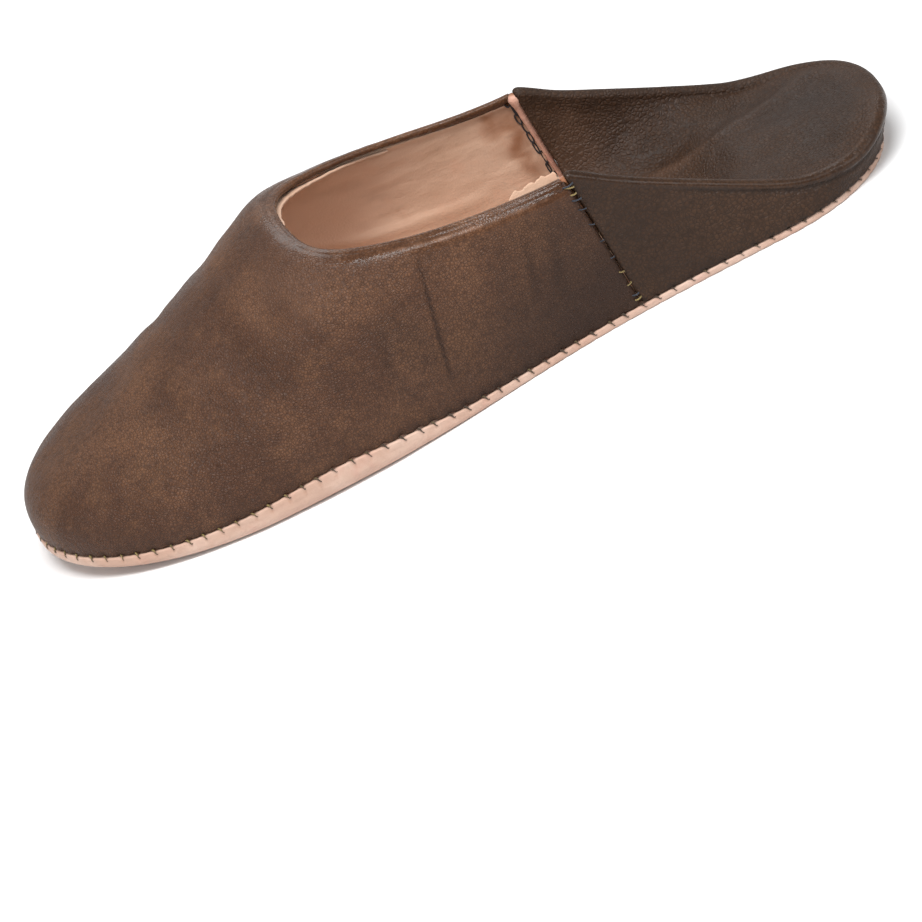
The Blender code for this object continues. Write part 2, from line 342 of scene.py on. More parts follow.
def crown_height(x):
    """Height of the last's crown, which levels out at the throat and runs on over the collar."""
    if x < THROAT:
        return INSTEP_HEIGHT + (LAST_HEIGHT - INSTEP_HEIGHT) * ((THROAT - x) / (THROAT - SEAM)) ** 2
    slope = crown_slope()
    ahead = x - THROAT
    if ahead < BROW_ROUND:
        return INSTEP_HEIGHT - slope * ahead**2 / (2 * BROW_ROUND)
    return INSTEP_HEIGHT - slope * (ahead - BROW_ROUND / 2)


def collar_height(x, side):
    """Height of the collar's edge, which dips round the throat and then falls to the seam."""
    dip = LATERAL_DIP if side > 0 else MEDIAL_DIP
    dipped = dip * (1 - math.exp(-2 * (THROAT - x) / DIP_REACH))
    share = min((THROAT - x) / (THROAT - SEAM), 1.0)
    fall = (INSTEP_HEIGHT - dip - SEAM_HEIGHT) * (1 - (1 - share) ** COLLAR_FALL)
    return INSTEP_HEIGHT - dipped - fall


def vamp_curve(station):
    """Outer face of the vamp in a station's plane, from the sole up to the crown."""
    along = (station.spine - HEEL_END) / SOLE_LENGTH
    bulge, fullness, shoulder = (
        through(column(SECTIONS, "along", name), along) for name in Section._fields[1:]
    )
    base = (station.reach - VAMP_INSET, station.edge + CLEARANCE)
    crown = crown_height(station.spine)
    rise = crown - base[1]
    low = (base[0] + VAMP_BULGE * bulge, base[1] + rise * fullness)
    drop = crown_slope() * base[0] * shoulder * max(station.out[0], 0.0)
    return (base, low, (base[0] * shoulder, crown - drop), (0.0, crown))


def vamp_top(station, curve):
    """The share of the way up at which the collar cuts the vamp's curve."""
    if station.spine >= THROAT:
        return 1.0
    return way_up(curve, collar_height(station.x, station.side))


def vamp_spot(x, side, up):
    """A point of the vamp's outer face. up is 0 at the sole and 1 at the collar or crown."""
    station = Station(x, side)
    curve = vamp_curve(station)
    return station.point(*on_curve(curve, up * vamp_top(station, curve)))


# Stations
def both_sides(places):
    """Stations from the first place on the lateral side, round the last one, and back."""
    return [Station(x, 1) for x in places] + [Station(x, -1) for x in reversed(places[:-1])]


def shares(steps):
    return [k / steps for k in range(steps + 1)]


def toe_places(steps):
    return [TOE_CENTRE + TOE_PIVOT * math.sin(math.pi / 2 * s) for s in shares(steps)]


def heel_places(steps):
    return [HEEL_CENTRE - HEEL_PIVOT * math.cos(math.pi / 2 * s) for s in shares(steps)]


def vamp_stations(first):
    collar = [THROAT + (first - THROAT) * (1 - s) ** 1.35 for s in shares(110)[:-1]]
    instep = [THROAT + (TOE_CENTRE - THROAT) * s**1.35 for s in shares(46)[:-1]]
    return both_sides(collar + instep + toe_places(54))


def sole_stations(steps, cap_steps):
    between = [HEEL_CENTRE + (TOE_CENTRE - HEEL_CENTRE) * s for s in shares(steps)[:-1]]
    return both_sides(heel_places(cap_steps)[:-1] + between + toe_places(cap_steps))


# Places of the stitches along the sole's outline
OUTLINE = [Station(x, 1) for x in heel_places(60)[:-1]]
OUTLINE += [Station(HEEL_CENTRE + (TOE_CENTRE - HEEL_CENTRE) * s, 1) for s in shares(300)[:-1]]
OUTLINE += [Station(x, 1) for x in toe_places(60)]
OUTLINE += [Station(s.x, -1) for s in reversed(OUTLINE[:-1])]
OUTLINE_SPOTS = np.array([s.point(s.reach, s.edge)[:2] for s in OUTLINE])
OUTLINE_WAY = np.concatenate(
    ([0.0], np.cumsum(np.linalg.norm(np.diff(OUTLINE_SPOTS, axis=0), axis=1)))
)


def outline_way(station):
    """How far along the outline, from the heel round the lateral side, a station meets it."""
    spot = np.array(station.point(station.reach, station.edge)[:2])
    k = int(np.argmin(((OUTLINE_SPOTS - spot) ** 2).sum(axis=1)))
    best = OUTLINE_WAY[k]
    for a in (max(k - 1, 0), min(k, len(OUTLINE_SPOTS) - 2)):
        start, step = OUTLINE_SPOTS[a], OUTLINE_SPOTS[a + 1] - OUTLINE_SPOTS[a]
        share = float(np.clip(np.dot(spot - start, step) / np.dot(step, step), 0, 1))
        if np.linalg.norm(start + share * step - spot) < 2e-5:
            best = OUTLINE_WAY[a] + share * math.sqrt(np.dot(step, step))
    return float(best)


def outline_station(way):
    """The station at a way along the outline."""
    way = min(max(way, 0.0), OUTLINE_WAY[-1])
    k = min(int(np.searchsorted(OUTLINE_WAY, way, side="right")) - 1, len(OUTLINE) - 2)
    share = (way - OUTLINE_WAY[k]) / (OUTLINE_WAY[k + 1] - OUTLINE_WAY[k])
    a, b = OUTLINE[k], OUTLINE[k + 1]
    side = a.side if share < 0.5 else b.side
    return Station(a.x + (b.x - a.x) * share, side)


STITCH_COUNT = int(OUTLINE_WAY[-1] / STITCH_PITCH)
STITCHES = np.array(
    [
        (k + 0.5 + chance.uniform(-0.09, 0.09)) * OUTLINE_WAY[-1] / STITCH_COUNT
        for k in range(STITCH_COUNT)
    ]
)


def pull(way, reach):
    """1 at a stitch, falling to 0 at a reach from it."""
    near = np.abs(STITCHES - way).min()
    return math.exp(-((near / reach) ** 2))


def pulls(ways, reach=STITCH_PULL_REACH):
    return np.array([pull(way, reach) for way in ways])


# Meshes
def normalised(vectors):
    length = np.linalg.norm(vectors, axis=-1, keepdims=True)
    return vectors / np.maximum(length, 1e-12)


class Sheet:
    """A welded grid of points, with its faces and one value of each kind per point."""

    def __init__(self, rows):
        grid = np.array(rows, dtype=float)
        flat = grid.reshape(-1, 3)
        keys = np.round(flat / 2e-7).astype(np.int64)
        _, first, back = np.unique(keys, axis=0, return_index=True, return_inverse=True)
        self.first = first
        self.ids = back.reshape(grid.shape[:2])
        self.co = flat[first].copy()
        ids = self.ids
        corners = (ids[:-1, :-1], ids[:-1, 1:], ids[1:, 1:], ids[1:, :-1])
        self.quads = np.stack(corners, axis=-1).reshape(-1, 4)

    def values(self, grid):
        """Values given on the grid, one for each welded point."""
        return np.array(grid, dtype=float).reshape(-1)[self.first]

    def from_ends(self, column):
        """Each point's way from the nearer end of the rows, in the steps of the first rows."""
        count, width = self.ids.shape
        steps = self.values([[min(r, count - 1 - r)] * width for r in range(count)])
        return steps * np.linalg.norm(self.co[self.ids[1, column]] - self.co[self.ids[0, column]])

    def normals(self):
        p = self.co[self.quads]
        across = np.cross(p[:, 2] - p[:, 0], p[:, 3] - p[:, 1])
        total = np.zeros_like(self.co)
        for k in range(4):
            np.add.at(total, self.quads[:, k], across)
        return normalised(total)

    def polygons(self):
        kept = []
        for quad in self.quads.tolist():
            loop = [v for k, v in enumerate(quad) if v != quad[k - 1]]
            if len(set(loop)) >= 3:
                kept.append(loop)
        return kept


def clipped(co, polygons, value, extras):
    """The part of a mesh where value is above 0, cut along the line where it is 0."""
    co, value = list(map(tuple, co)), list(value)
    extras = [list(extra) for extra in extras]
    made = {}

    def crossing(a, b):
        key = (min(a, b), max(a, b))
        if key not in made:
            share = value[a] / (value[a] - value[b])
            made[key] = len(co)
            co.append(tuple(p + (q - p) * share for p, q in zip(co[a], co[b])))
            for extra in extras:
                extra.append(extra[a] + (extra[b] - extra[a]) * share)
            value.append(0.0)
        return made[key]

    kept = []
    for loop in polygons:
        inside = [value[v] > 0 for v in loop]
        if all(inside):
            kept.append(loop)
            continue
        if not any(inside):
            continue
        cut = []
        for k, v in enumerate(loop):
            following = loop[(k + 1) % len(loop)]
            if value[v] > 0:
                cut.append(v)
            if (value[v] > 0) != (value[following] > 0):
                cut.append(crossing(v, following))
        if len(cut) >= 3:
            kept.append(cut)
    used = sorted({v for loop in kept for v in loop})
    place = {v: k for k, v in enumerate(used)}
    kept = [[place[v] for v in loop] for loop in kept]
    return np.array(co)[used], kept, [np.array(extra)[used] for extra in extras]


def made_object(name, co, polygons, finish, tone=None, sharp=60, polish=None):
    mesh = bpy.data.meshes.new(name)
    mesh.from_pydata([tuple(spot) for spot in co], [], polygons)
    mesh.validate()
    mesh.shade_smooth()
    mesh.set_sharp_from_angle(angle=math.radians(sharp))
    mesh.materials.append(finish)
    for kind, values in (("tone", tone), ("polish", polish)):
        layer = mesh.attributes.new(kind, "FLOAT", "POINT")
        if values is not None:
            layer.data.foreach_set("value", np.asarray(values, dtype=np.float32))
    piece = bpy.data.objects.new(name, mesh)
    bpy.context.scene.collection.objects.link(piece)
    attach(piece, "root")
    return piece


def thicken(piece, wall, offset=-1.0):
    shell = piece.modifiers.new("wall", "SOLIDIFY")
    shell.thickness = wall
    shell.offset = offset
    shell.use_even_offset = False
    shell.use_quality_normals = True


def tube(path, radius, sides):
    """Points and faces of a closed round thread along a path of at least two points."""
    path = np.array(path, dtype=float)
    along = normalised(np.gradient(path, axis=0))
    start = np.array((0.0, 0.0, 1.0))
    if abs(along[0][2]) > 0.9:
        start = np.array((1.0, 0.0, 0.0))
    side = normalised(np.cross(along[0], start)[None])[0]
    rings = []
    for k, spot in enumerate(path):
        side = side - np.dot(side, along[k]) * along[k]
        side = side / np.linalg.norm(side)
        other = np.cross(along[k], side)
        size = radius[k] if hasattr(radius, "__len__") else radius
        turns = [2 * math.pi * i / sides for i in range(sides)]
        rings.append([spot + size * (math.cos(t) * side + math.sin(t) * other) for t in turns])
    co = [spot for ring in rings for spot in ring]
    faces = []
    for k in range(len(rings) - 1):
        for i in range(sides):
            j = (i + 1) % sides
            a, b = k * sides, (k + 1) * sides
            faces.append([a + i, a + j, b + j, b + i])
    faces.append(list(range(sides))[::-1])
    faces.append([len(co) - sides + i for i in range(sides)])
    return co, faces


def joined(parts):
    """Several (points, faces) as one."""
    co, faces = [], []
    for points, loops in parts:
        start = len(co)
        co.extend(points)
        faces.extend([[v + start for v in loop] for loop in loops])
    return co, faces


def smooth_path(points, count):
    """A smooth path of many points through a few."""
    points = [Vector(p) for p in points]
    padded = [2 * points[0] - points[1]] + points + [2 * points[-1] - points[-2]]
    path = []
    spans = len(points) - 1
    for k in range(count + 1):
        at = spans * k / count
        i = min(int(at), spans - 1)
        u = at - i
        p0, p1, p2, p3 = padded[i : i + 4]
        path.append(
            0.5
            * (
                2 * p1
                + (p2 - p0) * u
                + (2 * p0 - 5 * p1 + 4 * p2 - p3) * u**2
                + (3 * p1 - p0 - 3 * p2 + p3) * u**3
            )
        )
    return path


def wave(co, length, seed, octaves=2, along=1.0):
    """Smooth noise, about -1 to 1, with waves of a given length. along below 1 draws them out
    along the shoe."""
    shift = Vector((seed * 3.1, seed * 1.7, seed * 2.3))
    spots = co * np.array((along, 1.0, 1.0))
    return np.array(
        [noise.fractal(Vector(spot) / length + shift, 1.0, 2.0, octaves) for spot in spots]
    )


# Slow unevenness of a leather: how high, how long its waves are, and its seed
Swell = namedtuple("Swell", "height length seed")
VAMP_SWELLS = (Swell(0.00060, 0.042, 1), Swell(0.00022, 0.014, 2))
FLAP_SWELLS = (Swell(0.00075, 0.026, 31), Swell(0.00030, 0.010, 32))
WALL_SWELLS = (Swell(0.00035, 0.024, 33), Swell(0.00012, 0.008, 34))


def swells(co, table):
    return sum(swell.height * wave(co, swell.length, swell.seed) for swell in table)


def way_to(co, path):
    """Distance of each point to a path of points, and the share along it of the nearest spot."""
    path = np.array(path, dtype=float)
    best = np.full(len(co), 1e9)
    share = np.zeros(len(co))
    for k in range(len(path) - 1):
        step = path[k + 1] - path[k]
        u = np.clip(((co - path[k]) @ step) / (step @ step), 0, 1)
        off = np.linalg.norm(co - (path[k] + u[:, None] * step), axis=1)
        nearer = off < best
        best[nearer] = off[nearer]
        share[nearer] = (k + u[nearer]) / (len(path) - 1)
    return best, share


def crease(co, path, depth, width, lip=0.35):
    """A soft trough along a path, with a low ridge on both its sides, fading at its ends."""
    off, share = way_to(co, path)
    fade = np.sin(np.pi * np.clip(share, 0.0, 1.0)) ** 0.6
    return depth * fade * (lip * bell(off, width, 2.0 * width) - bell(off, width))


# Materials
class Maker:
    """Adds nodes to a material one after another."""

    def __init__(self, name, roughness, specular, sheen=0.0):
        self.material = bpy.data.materials.new(name)
        self.material.use_nodes = True
        self.nodes = self.material.node_tree.nodes
        self.links = self.material.node_tree.links
        self.shader = self.nodes["Principled BSDF"]
        self.shader.inputs["Roughness"].default_value = roughness
        self.shader.inputs["Specular IOR Level"].default_value = specular
        self.shader.inputs["Sheen Weight"].default_value = sheen
        self.place = self.nodes.new("ShaderNodeTexCoord").outputs["Object"]

    def link(self, source, target):
        if isinstance(source, (int, float)):
            target.default_value = source
        elif isinstance(source, tuple):
            target.default_value = (*source, 1.0)
        else:
            self.links.new(source, target)

    def noise(self, length, detail=2.0, rough=0.5, stretch=(1, 1, 1), distortion=0.0):
        """Noise with features of a given length in metres."""
        spot = self.place
        if stretch != (1, 1, 1):
            mapping = self.nodes.new("ShaderNodeMapping")
            mapping.inputs["Scale"].default_value = stretch
            self.links.new(self.place, mapping.inputs["Vector"])
            spot = mapping.outputs["Vector"]
        node = self.nodes.new("ShaderNodeTexNoise")
        node.inputs["Scale"].default_value = 1.0 / length
        node.inputs["Detail"].default_value = detail
        node.inputs["Roughness"].default_value = rough
        node.inputs["Distortion"].default_value = distortion
        self.links.new(spot, node.inputs["Vector"])
        return node.outputs["Fac"]

    def cells(self, length):
        """Distance to the borders of irregular cells."""
        node = self.nodes.new("ShaderNodeTexVoronoi")
        node.feature = "DISTANCE_TO_EDGE"
        node.inputs["Scale"].default_value = 1.0 / length
        node.inputs["Randomness"].default_value = 1.0
        self.links.new(self.place, node.inputs["Vector"])
        return node.outputs["Distance"]

    def math(self, kind, a, b):
        node = self.nodes.new("ShaderNodeMath")
        node.operation = kind
        self.link(a, node.inputs[0])
        self.link(b, node.inputs[1])
        return node.outputs[0]

    def between(self, value, low, high, to_low=0.0, to_high=1.0):
        node = self.nodes.new("ShaderNodeMapRange")
        node.interpolation_type = "SMOOTHSTEP"
        for name, number in (("From Min", low), ("From Max", high), ("To Min", to_low)):
            node.inputs[name].default_value = number
        node.inputs["To Max"].default_value = to_high
        self.link(value, node.inputs["Value"])
        return node.outputs["Result"]

    def mix(self, share, a, b):
        node = self.nodes.new("ShaderNodeMix")
        node.data_type = "RGBA"
        self.link(share, node.inputs["Factor"])
        self.link(a, node.inputs["A"])
        self.link(b, node.inputs["B"])
        return node.outputs["Result"]

    def painted(self, kind):
        """A value stored on the mesh's points."""
        node = self.nodes.new("ShaderNodeAttribute")
        node.attribute_name = kind
        return node.outputs["Fac"]

    def bump(self, height, distance, under=None):
        node = self.nodes.new("ShaderNodeBump")
        node.inputs["Distance"].default_value = distance
        self.links.new(height, node.inputs["Height"])
        if under is not None:
            self.links.new(under, node.inputs["Normal"])
        return node.outputs["Normal"]

    def finish(self, colour, roughness=None, normal=None):
        self.link(colour, self.shader.inputs["Base Color"])
        if roughness is not None:
            self.link(roughness, self.shader.inputs["Roughness"])
        if normal is not None:
            self.links.new(normal, self.shader.inputs["Normal"])
        return self.material


def brown_leather(name, grain, grain_height, gloss, shades):
    """Waxed brown leather: mottled, with a pebbled grain and darker valleys. shades are its
    dark patches, its light patches and its warm clouds of rubbing."""
    m = Maker(name, 0.45, specular=0.24)
    patches = m.noise(0.028, 3.0, 0.55, distortion=0.4)
    clouds = m.noise(0.010, 3.0, 0.6)
    specks = m.noise(0.0016, 2.0, 0.6)
    dark, light, warm = shades
    deep = tuple(c * 0.45 for c in dark)
    colour = m.mix(m.between(patches, 0.34, 0.68), dark, light)
    colour = m.mix(m.between(clouds, 0.47, 0.78, 0.0, 0.40), colour, warm)
    colour = m.mix(m.between(clouds, 0.45, 0.22, 0.0, 0.40), colour, deep)
    colour = m.mix(m.between(specks, 0.42, 0.68, 0.0, 0.45), colour, deep)
    pebbles = m.cells(grain)
    valleys = m.between(pebbles, 0.0, 0.20, 1.0, 0.0)
    colour = m.mix(m.math("MULTIPLY", valleys, 0.62), colour, deep)
    # The tone on the points: below 0 darker, above 0 lighter. It carries painted shade and painted
    # highlights as well as random tone, patches and wear.
    tone = m.painted("tone")
    colour = m.mix(m.between(tone, 0.0, -1.0, 0.0, 0.85), colour, tuple(c * 0.6 for c in deep))
    colour = m.mix(m.between(tone, 0.0, 1.0, 0.0, 0.85), colour, (0.300, 0.165, 0.105))
    pores = m.noise(grain * 0.45, 2.0, 0.6)
    height = m.math("ADD", m.between(pebbles, 0.0, 0.32), m.math("MULTIPLY", pores, 0.6))
    smooth = m.between(m.painted("polish"), 0.0, 1.0, 1.0, 0.15)
    height = m.math("MULTIPLY", height, smooth)
    wrinkles = m.noise(0.0040, 3.0, 0.55, (0.6, 1.5, 1.0), 0.8)
    wrinkles = m.math("MULTIPLY", wrinkles, smooth)
    normal = m.bump(wrinkles, grain_height * 2.6)
    normal = m.bump(height, grain_height, normal)
    rough = m.between(clouds, 0.3, 0.7, gloss, gloss + 0.12)
    # lower roughness where the leather is polished
    gloss_and_painted_highlight = m.between(m.painted("polish"), 0.0, 1.0, 0.0, 0.24)
    rough = m.math("SUBTRACT", rough, gloss_and_painted_highlight)
    return m.finish(colour, rough, normal)


def tan_leather(name, base, pale, blush, grain_height, fibres):
    """Undyed vegetable-tanned leather, its surface lightly fibrous and unevenly coloured."""
    m = Maker(name, 0.62, specular=0.30, sheen=0.06)
    patches = m.noise(0.024, 3.0, 0.6, distortion=0.5)
    clouds = m.noise(0.008, 4.0, 0.6)
    colour = m.mix(m.between(patches, 0.35, 0.68), base, pale)
    colour = m.mix(m.between(clouds, 0.50, 0.76, 0.0, 0.45), colour, blush)
    streaks = m.noise(fibres, 4.0, 0.6, (0.30, 1.0, 1.5), 0.3)
    dark = tuple(c * 0.62 for c in base)
    colour = m.mix(m.between(streaks, 0.52, 0.80, 0.0, 0.30), colour, dark)
    specks = m.noise(0.0014, 3.0, 0.7)
    colour = m.mix(m.between(specks, 0.50, 0.80, 0.0, 0.25), colour, dark)
    # The tone on the points: below 0 darker, above 0 lighter. It carries painted shade and painted
    # light as well as random tone, stains and marks.
    tone = m.painted("tone")
    colour = m.mix(m.between(tone, 0.0, -1.0, 0.0, 0.9), colour, (0.260, 0.100, 0.040))
    colour = m.mix(m.between(tone, 0.0, 1.0, 0.0, 0.8), colour, (0.80, 0.56, 0.42))
    pores = m.noise(0.0007, 3.0, 0.65)
    normal = m.bump(streaks, grain_height * 2.5)
    normal = m.bump(pores, grain_height, normal)
    rough = m.between(clouds, 0.3, 0.7, 0.52, 0.68)
    return m.finish(colour, rough, normal)


def thread_material(name, light, dark, pitch):
    """Twisted waxed thread."""
    m = Maker(name, 0.5, specular=0.4, sheen=0.15)
    mapping = m.nodes.new("ShaderNodeMapping")
    mapping.inputs["Rotation"].default_value = (0.5, 0.7, 0.4)
    m.links.new(m.place, mapping.inputs["Vector"])
    twist = m.nodes.new("ShaderNodeTexWave")
    twist.inputs["Scale"].default_value = 1.0 / pitch
    twist.inputs["Distortion"].default_value = 1.5
    m.links.new(mapping.outputs["Vector"], twist.inputs["Vector"])
    tint = m.noise(0.004, 2.0, 0.5)
    colour = m.mix(m.between(twist.outputs["Fac"], 0.2, 0.8), dark, light)
    colour = m.mix(m.between(tint, 0.5, 0.75, 0.0, 0.6), colour, dark)
    colour = m.mix(m.between(m.painted("tone"), 0.0, -1.0), colour, dark)
    normal = m.bump(twist.outputs["Fac"], 0.00006)
    return m.finish(colour, 0.5, normal)


VAMP_SHADES = ((0.070, 0.0280, 0.0125), (0.126, 0.0560, 0.0265), (0.185, 0.0870, 0.0400))
QUARTER_SHADES = ((0.034, 0.0150, 0.0066), (0.046, 0.0210, 0.0096), (0.052, 0.0240, 0.0110))
VAMP_FINISH = brown_leather("vamp_leather", 0.00090, 0.00016, 0.42, VAMP_SHADES)
QUARTER_FINISH = brown_leather("quarter_leather", 0.00125, 0.00014, 0.46, QUARTER_SHADES)
# base, pale patches and blush
SOLE_SHADES = ((0.475, 0.305, 0.230), (0.575, 0.410, 0.330), (0.500, 0.265, 0.205))
LINING_SHADES = ((0.560, 0.360, 0.250), (0.620, 0.415, 0.300), (0.590, 0.325, 0.215))
RAW_SHADES = ((0.540, 0.280, 0.200), (0.630, 0.370, 0.280), (0.520, 0.130, 0.140))
SOLE_FINISH = tan_leather("sole_leather", *SOLE_SHADES, 0.00008, 0.004)
LINING_FINISH = tan_leather("lining_leather", *LINING_SHADES, 0.00010, 0.005)
RAW_FINISH = tan_leather("raw_edge", *RAW_SHADES, 0.00014, 0.002)
SOLE_THREAD = thread_material("olive_thread", (0.420, 0.310, 0.100), (0.045, 0.027, 0.014), 0.0009)
BLACK_THREAD = thread_material("black_thread", (0.030, 0.027, 0.030), (0.008, 0.008, 0.010), 0.0009)
BLUE_THREAD = thread_material("blue_thread", (0.026, 0.034, 0.055), (0.006, 0.008, 0.013), 0.0009)


# Vamp
def vamp_grid():
    """Rows of points of the vamp's outer face, and for each its way along the sole and its
    height over the sole's edge."""
    rows, ways, heights = [], [], []
    turns = [s - 0.55 * math.sin(2 * math.pi * s) / (2 * math.pi) for s in shares(VAMP_COLUMNS)]
    for station in vamp_stations(SEAM - SEAM_OPENING / 2):
        curve = vamp_curve(station)
        top = vamp_top(station, curve)
        base = curve[0]
        start = way_up(curve, base[1] + 0.0007)
        spots = [(base[0] - i, base[1] + h) for i, h in VAMP_FOOT]
        spots += [on_curve(curve, start + (top - start) * turn) for turn in turns]
        rows.append([station.point(*spot) for spot in spots])
        ways.append([outline_way(station)] * len(spots))
        heights.append([spot[1] - base[1] for spot in spots])
    return rows, ways, heights


def collar_edge():
    """Points of the collar's edge from the lateral seam round the throat to the medial seam."""
    steps = [THROAT + (SEAM - THROAT) * (1 - s) ** 1.8 for s in shares(170)]
    spots = []
    for side, places in ((1, steps), (-1, steps[::-1][1:])):
        for x in places:
            station = Station(x, side)
            curve = vamp_curve(station)
            top = 1.0 if x >= THROAT - 1e-9 else vamp_top(station, curve)
            spots.append(station.point(*on_curve(curve, top)))
    return np.array(spots)


def evened(path, count):
    """A path resampled at equal steps."""
    way = np.concatenate(([0.0], np.cumsum(np.linalg.norm(np.diff(path, axis=0), axis=1))))
    at = np.linspace(0.0, way[-1], count + 1)
    return np.stack([np.interp(at, way, path[:, k]) for k in range(3)], axis=1)


EDGE = evened(collar_edge(), EDGE_STEPS)

# up: 0 at the sole, 1 at the collar or, ahead of it, at the crown. depth and width in metres.
# A wrinkle narrower than the sharp one also has a painted dark line of shade along it.
SHARP_WRINKLE = 0.001
Wrinkle = namedtuple("Wrinkle", "side depth width path")
VAMP_WRINKLES = (
    Wrinkle(1, 0.00045, 0.0007, ((0.0006, 0.92), (0.0026, 0.72), (0.0056, 0.45), (0.0094, 0.12))),
    Wrinkle(1, 0.00024, 0.0016, ((0.019, 0.62), (0.022, 0.40), (0.025, 0.20))),
    Wrinkle(1, 0.00030, 0.0012, ((-0.034, 0.86), (-0.030, 0.62), (-0.025, 0.30))),
    Wrinkle(1, 0.00026, 0.0018, ((-0.041, 0.80), (-0.037, 0.52), (-0.032, 0.22))),
    Wrinkle(1, 0.00045, 0.0045, ((0.064, 0.96), (0.060, 0.62), (0.052, 0.34))),
    Wrinkle(1, 0.00035, 0.0035, ((0.082, 0.98), (0.084, 0.60), (0.082, 0.30))),
    Wrinkle(-1, 0.00045, 0.0042, ((0.062, 0.97), (0.056, 0.62), (0.050, 0.34))),
    Wrinkle(-1, 0.00035, 0.0030, ((0.080, 0.98), (0.078, 0.62), (0.074, 0.36))),
    Wrinkle(-1, 0.00035, 0.0013, ((0.004, 0.80), (0.000, 0.50), (-0.004, 0.20))),
    Wrinkle(-1, 0.00030, 0.0016, ((-0.030, 0.80), (-0.033, 0.45), (-0.036, 0.20))),
)


def wrinkle_path(wrinkle):
    return smooth_path([vamp_spot(x, wrinkle.side, up) for x, up in wrinkle.path], 18)


def beside_throat(co):
    """1 along the collar's sides, falling to 0 before its throat."""
    return np.clip((THROAT - 0.012 - MIDDLE_X - co[:, 0]) / 0.020, 0, 1)


def vamp_relief(co, ways, heights, wrinkles):
    """How far each point of the vamp stands off its plain form."""
    to_edge = way_to(co, EDGE[::3])[0]
    ahead = np.clip((co[:, 0] - (SEAM + SEAM_SLANT * 0.5)) / 0.010, 0, 1)
    calm = ramp(heights, 0, 0.012) * np.clip(to_edge / 0.014, 0.25, 1) * ahead
    relief = swells(co, VAMP_SWELLS) * calm
    for wrinkle in wrinkles:
        relief += crease(co, wrinkle_path(wrinkle), wrinkle.depth, wrinkle.width)
    relief -= COLLAR_ROLL * bell(to_edge, COLLAR_ROLL_REACH)
    bead = bell(to_edge, COLLAR_BEAD_REACH, COLLAR_BEAD_PLACE)
    relief += COLLAR_BEAD * bead * beside_throat(co) * ahead
    relief += bell(np.maximum(heights, 0), 0.0021) * (VAMP_PUFF - VAMP_PUCKER * pulls(ways))
    return relief


def seam_tuck(from_seam):
    """Rounds a leather's edge at the side seam down into the seam."""
    return -SEAM_TUCK * bell(from_seam, SEAM_TUCK_REACH)


def fray(share):
    """Uneven distances along the lining's cut edge."""
    at = share * 230
    return 0.00030 * (
        noise.noise(Vector((at * 0.22, 3.0, 1.0)))
        + 0.8 * noise.noise(Vector((at * 0.9, 7.0, 2.0)))
        + 0.5 * noise.noise(Vector((at * 2.4, 5.0, 4.0)))
    )


def lining_edge(share):
    """How far inside the collar's edge the lining ends. share runs from seam to seam."""
    front = math.sin(math.pi * share) ** 1.5
    return TURNED_SEAM + (TURNED_FRONT - TURNED_SEAM) * front + fray(share)


def build_vamp():
    rows, ways, heights = vamp_grid()
    sheet = Sheet(rows)
    ways, heights = sheet.values(ways), sheet.values(heights)
    plain = sheet.co.copy()
    normals = sheet.normals()
    relief = vamp_relief(plain, ways, heights, VAMP_WRINKLES)
    relief += seam_tuck(sheet.from_ends(30))
    sheet.co = plain + normals * relief[:, None]

    off, share = way_to(plain, EDGE)
    tone = vamp_tone(sheet.co, relief, heights, off)
    polish = np.exp(-((off / 0.0068) ** 4)) * (1.05 + 0.2 * wave(plain, 0.004, 17))
    polygons = sheet.polygons()
    co, loops, (tone, polish) = clipped(sheet.co, polygons, off - SKIN_TRIM, [tone, polish])
    skin = made_object("vamp_skin", co, loops, VAMP_FINISH, tone, 60, polish)
    thicken(skin, SKIN_THICKNESS)
    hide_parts("vamp")

    # the lining follows the leather's form, without its creases and the stitches' pull
    calm = 0.6 * vamp_relief(plain, ways, heights, ()) * ramp(heights, 0, 0.006)
    inner = plain + sheet.normals() * (calm - SKIN_THICKNESS - LINING_GAP)[:, None]
    cut = off - np.array([lining_edge(s) for s in share])
    below = cut - np.array([hem_width(s) for s in share])
    front = np.sin(np.pi * np.clip(share, 0, 1))
    folds = lining_relief(plain, off, cut, below, front)
    inner -= normals * folds[:, None]
    tones = lining_tone(plain, cut, below, front, heights, folds)
    value = np.minimum(cut, (heights - 0.0004) * 3)
    co, loops, (tones,) = clipped(inner, polygons, value, [tones])
    lining = made_object("vamp_lining", co, loops, LINING_FINISH, tones)
    thicken(lining, LINING_THICKNESS)
    return BVHTree.FromPolygons([Vector(v) for v in sheet.co], polygons)


def blot(co, centre, size, squash=(1, 1, 1)):
    """1 at a spot, falling off smoothly over a size."""
    off = np.linalg.norm((co - np.array(centre)) * np.array(squash), axis=1)
    return bell(off, size)


# Darker or lighter patches of the vamp's lateral side, with up as for the wrinkles
Patch = namedtuple("Patch", "x up size tone")
VAMP_PATCHES = (Patch(0.092, 0.72, 0.008, -0.38), Patch(0.055, 0.70, 0.030, 0.14))


